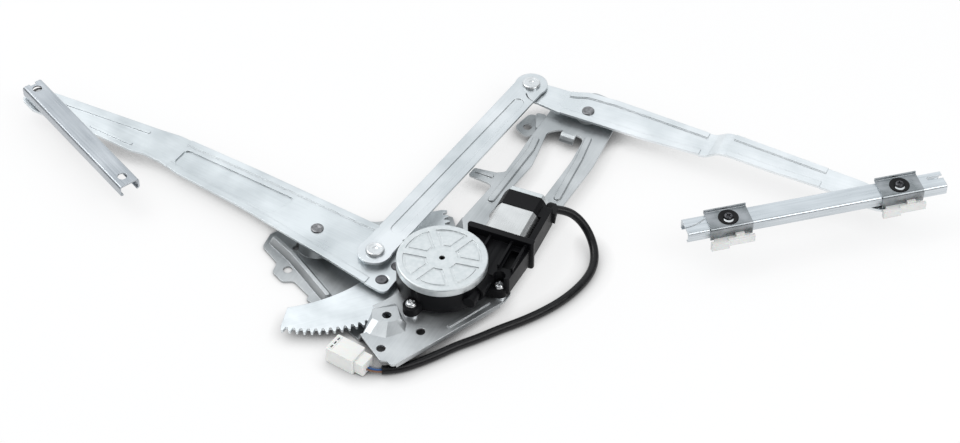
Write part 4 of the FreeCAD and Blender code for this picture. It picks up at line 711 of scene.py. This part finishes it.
class REGULATOR_OT_clip_rings(bpy.types.Operator):
    """Lay a dished rubber ring round each clip stud, and a bright crescent on its near side as a
    painted highlight
    """
    bl_idname = "regulator.clip_rings"
    bl_label = "Clip Rings"

    def execute(self, context):
        low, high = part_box("clip_grommets")
        foot, crown = low[2], high[2]
        places = ((low[0] + RING_NECK, low[1] + RING_NECK),
                  (high[0] - RING_NECK, high[1] - RING_NECK))
        shell = bmesh.new()
        for place in places:
            rim = turned(shell, place, [
                (STUD_RADIUS, foot), (RING_NECK, foot), (RING_NECK, CLIP_TOP),
                (RING_FLANGE, CLIP_TOP), (RING_FLANGE, CLIP_TOP + RING_EDGE),
                (0.95 * RING_FLANGE, crown), (0.80 * RING_FLANGE, crown),
                (0.62 * RING_FLANGE, CLIP_TOP + RING_DISH), (STUD_RADIUS + RING_DISH, CLIP_TOP)])
            shell.faces.new(rim)
        add_piece(context, "clip_rings", shell, "Black Rubber", "right_rail", ["clip_grommets"])
        shell = bmesh.new()
        # Painted highlight: a bright zinc crescent on the near side of each ring's dish.
        for place in places:
            crescent(shell, place, STUD_RADIUS + CRESCENT_GAP, 0.80 * RING_FLANGE,
                     CLIP_TOP + 0.5 * RING_DISH, crown + RING_EDGE, CRESCENT_FROM, CRESCENT_TO)
        add_piece(context, "clip_painted_highlights", shell, "Link Rivet Zinc", "right_rail", [])
        return {"FINISHED"}


class REGULATOR_OT_plug_slots(bpy.types.Operator):
    """Set the slotted bezel of the terminals on the plug's top"""
    bl_idname = "regulator.plug_slots"
    bl_label = "Plug Slots"

    def execute(self, context):
        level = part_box("plug_housing")[1][2]
        shell = bmesh.new()
        slotted_bezel(shell, PLUG_CENTRE, PLUG_ANGLE, level)
        piece = add_piece(context, "plug_slots", shell, "Plug White", "root", [])
        piece.data.materials.append(finish("Gear Steel"))
        return {"FINISHED"}


class REGULATOR_OT_wires(bpy.types.Operator):
    """Run the three coloured wires from the sleeve's end into the plug"""
    bl_idname = "regulator.wires"
    bl_label = "Lead Wires"

    def execute(self, context):
        settings = context.scene.regulator_lead
        end = Vector(SLEEVE_ROUTE[-1])
        ahead = (end - Vector(SLEEVE_ROUTE[-2])).normalized()
        side = Vector((-ahead.y, ahead.x, 0.0)).normalized()
        into = -Vector((math.cos(PLUG_ANGLE), math.sin(PLUG_ANGLE), 0.0))
        across = Vector((-into.y, into.x, 0.0))
        rear = Vector((*PLUG_CENTRE, 0.0)) - into * PLUG_REAR_REACH
        curve = round_curve("lead_strands", settings.wire_diameter, 4)
        for index, name in enumerate(("Wire Grey", "Wire Blue", "Wire Brown")):
            shift = (index - 1) * settings.wire_spacing
            first = end + side * shift
            face = rear + across * shift
            gap = face - first
            reach = (gap.x * into.y - gap.y * into.x) / (ahead.x * into.y - ahead.y * into.x)
            corner = first + ahead * reach
            curve.materials.append(finish(name))
            spline = add_spline(curve, (first, corner, (face.x, face.y, corner.z)))
            spline.material_index = index
        strands = bpy.data.objects.new("lead_strands", curve)
        context.collection.objects.link(strands)
        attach(strands, "root")
        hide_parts("lead_wires")
        return {"FINISHED"}


class REGULATOR_OT_lead(bpy.types.Operator):
    """Lay the sleeved motor lead along its route"""
    bl_idname = "regulator.lead"
    bl_label = "Motor Lead"

    def execute(self, context):
        settings = context.scene.regulator_lead
        curve = round_curve("lead_sleeve", settings.sleeve_diameter, 6)
        add_spline(curve, SLEEVE_ROUTE).resolution_u = 8
        sleeve = bpy.data.objects.new("lead_sleeve", curve)
        context.collection.objects.link(sleeve)
        curve.materials.append(finish("Sleeve Black"))
        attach(sleeve, "root")
        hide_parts("cable_tube")
        return {"FINISHED"}


class REGULATOR_OT_studio(bpy.types.Operator):
    """Set the floor, the soft lights, the room and the camera"""
    bl_idname = "regulator.studio"
    bl_label = "Studio"

    def execute(self, context):
        settings = context.scene.regulator_studio
        scene = context.scene
        scene.view_settings.view_transform = "Standard"
        self.add_floor(context, settings.floor_colour)
        self.light_room(scene, settings.world_level)
        self.add_light(context, "Key Softbox", KEY_PLACE, KEY_SIZE, settings.key_power)
        self.add_light(context, "Fill Softbox", FILL_PLACE, FILL_SIZE, settings.fill_power)
        self.add_camera(context)
        return {"FINISHED"}

    def add_floor(self, context, colour):
        """A pale floor, white to the camera and in what shines, that keeps the shadow and has painted
        shade near the part.
        """
        mesh = bpy.data.meshes.new("floor")
        corners = [(x * FLOOR_REACH, y * FLOOR_REACH, FLOOR_LEVEL)
                   for x, y in ((-1, -1), (1, -1), (1, 1), (-1, 1))]
        mesh.from_pydata(corners, [], [(0, 1, 2, 3)])
        floor = bpy.data.objects.new("floor", mesh)
        context.collection.objects.link(floor)
        material = bpy.data.materials.new("Pale Floor")
        material.use_nodes = True
        tree = material.node_tree
        matt = tree.nodes["Principled BSDF"]
        matt.inputs["Base Color"].default_value = (*colour, 1)
        matt.inputs["Roughness"].default_value = 0.9
        white = put(tree, "ShaderNodeEmission")
        white.inputs["Color"].default_value = (1, 1, 1, 1)
        path = put(tree, "ShaderNodeLightPath")
        seen = arithmetic(tree, "MAXIMUM", path.outputs["Is Camera Ray"],
                          path.outputs["Is Glossy Ray"])
        share = arithmetic(tree, "MULTIPLY", seen, FLOOR_WHITE_SHARE)
        # Painted shadow: the floor's white is dimmed by ambient occlusion, darkest in contact with the
        # part and softer farther off.
        far = openness(tree, SHADOW_REACH)
        level = arithmetic(tree, "MULTIPLY", ramp(tree, far, 0.12, 0.42),
                           openness(tree, CONTACT_REACH))
        level = arithmetic(tree, "MULTIPLY", level,
                           ramp(tree, far, 0.4, 1.0, 0.92, 1.0, shape="LINEAR"))
        tree.links.new(level, white.inputs["Strength"])
        mix = put(tree, "ShaderNodeMixShader")
        tree.links.new(share, mix.inputs["Fac"])
        tree.links.new(matt.outputs[0], mix.inputs[1])
        tree.links.new(white.outputs[0], mix.inputs[2])
        tree.links.new(mix.outputs[0], tree.nodes["Material Output"].inputs["Surface"])
        mesh.materials.append(material)

    def light_room(self, scene, level):
        """An even room, seen white by the camera and graded by what shines."""
        world = bpy.data.worlds.new("Room")
        scene.world = world
        world.use_nodes = True
        tree = world.node_tree
        room = tree.nodes["Background"]
        room.inputs["Color"].default_value = (0.95, 0.97, 1.0, 1)
        room.inputs["Strength"].default_value = level
        backdrop = put(tree, "ShaderNodeBackground")
        backdrop.inputs["Color"].default_value = (1, 1, 1, 1)
        graded = put(tree, "ShaderNodeBackground")
        graded.inputs["Color"].default_value = (0.95, 0.98, 1.0, 1)
        tree.links.new(self.room_grade(tree), graded.inputs["Strength"])
        path = put(tree, "ShaderNodeLightPath")
        shining = put(tree, "ShaderNodeMixShader")
        tree.links.new(path.outputs["Is Glossy Ray"], shining.inputs["Fac"])
        tree.links.new(room.outputs[0], shining.inputs[1])
        tree.links.new(graded.outputs[0], shining.inputs[2])
        seen = put(tree, "ShaderNodeMixShader")
        tree.links.new(path.outputs["Is Camera Ray"], seen.inputs["Fac"])
        tree.links.new(shining.outputs[0], seen.inputs[1])
        tree.links.new(backdrop.outputs[0], seen.inputs[2])
        tree.links.new(seen.outputs[0], tree.nodes["World Output"].inputs["Surface"])

    def room_grade(self, tree):
        """The room's level by direction: bright behind the part, dim at its sides."""
        parts = put(tree, "ShaderNodeSeparateXYZ")
        tree.links.new(put(tree, "ShaderNodeTexCoord").outputs["Generated"], parts.inputs[0])
        rear = ramp(tree, parts.outputs["Y"], -0.6, 0.8, 0.25, 1.08)
        aside = arithmetic(tree, "ABSOLUTE", parts.outputs["X"], 0.0)
        side = ramp(tree, aside, 0.35, 0.95, 1.0, 0.35)
        return arithmetic(tree, "MULTIPLY", rear, side)

    def add_light(self, context, name, place, size, power):
        """A soft lamp of one size and power, aimed at the part."""
        light = bpy.data.lights.new(name, "AREA")
        light.shape = "RECTANGLE"
        light.size, light.size_y = size
        light.energy = power
        lamp = bpy.data.objects.new(name, light)
        lamp.location = place
        towards = Vector(LAMP_AIM) - Vector(place)
        lamp.rotation_euler = towards.to_track_quat("-Z", "Y").to_euler()
        context.collection.objects.link(lamp)

    def add_camera(self, context):
        """The camera, looking down at the part from the front."""
        lens = bpy.data.cameras.new("Camera")
        lens.lens = CAMERA_LENS
        lens.sensor_width = 36.0
        lens.sensor_fit = "HORIZONTAL"
        lens.clip_end = 20.0
        camera = bpy.data.objects.new("Camera", lens)
        camera.location = CAMERA_PLACE
        camera.rotation_euler = (CAMERA_TILT, 0.0, 0.0)
        context.collection.objects.link(camera)
        context.scene.camera = camera


class REGULATOR_PT_panel(bpy.types.Panel):
    """Steps that dress the regulator, in order"""
    bl_label = "Regulator"
    bl_idname = "REGULATOR_PT_panel"
    bl_space_type = "VIEW_3D"
    bl_region_type = "UI"
    bl_category = "Regulator"

    def draw(self, context):
        for operator in OPERATORS:
            self.layout.operator(operator.bl_idname)
        for group in (context.scene.regulator_lead, context.scene.regulator_studio):
            for name in group.__annotations__:
                self.layout.prop(group, name)


OPERATORS = (REGULATOR_OT_finishes, REGULATOR_OT_rivets, REGULATOR_OT_screws,
             REGULATOR_OT_clip_rings, REGULATOR_OT_plug_slots, REGULATOR_OT_wires,
             REGULATOR_OT_lead, REGULATOR_OT_studio)
CLASSES = (StudioSettings, LeadSettings) + OPERATORS + (REGULATOR_PT_panel,)


def register():
    """Add the settings, the steps and the panel."""
    for kind in CLASSES:
        bpy.utils.register_class(kind)
    bpy.types.Scene.regulator_studio = bpy.props.PointerProperty(type=StudioSettings)
    bpy.types.Scene.regulator_lead = bpy.props.PointerProperty(type=LeadSettings)


def unregister():
    """Take the panel, the steps and the settings out again."""
    del bpy.types.Scene.regulator_lead
    del bpy.types.Scene.regulator_studio
    for kind in reversed(CLASSES):
        bpy.utils.unregister_class(kind)


def main():
    """Run every step in order."""
    register()
    bpy.ops.regulator.finishes()
    bpy.ops.regulator.rivets()
    bpy.ops.regulator.screws()
    bpy.ops.regulator.clip_rings()
    bpy.ops.regulator.plug_slots()
    bpy.ops.regulator.wires()
    bpy.ops.regulator.lead()
    bpy.ops.regulator.studio()


if __name__ == "__main__":
    main()
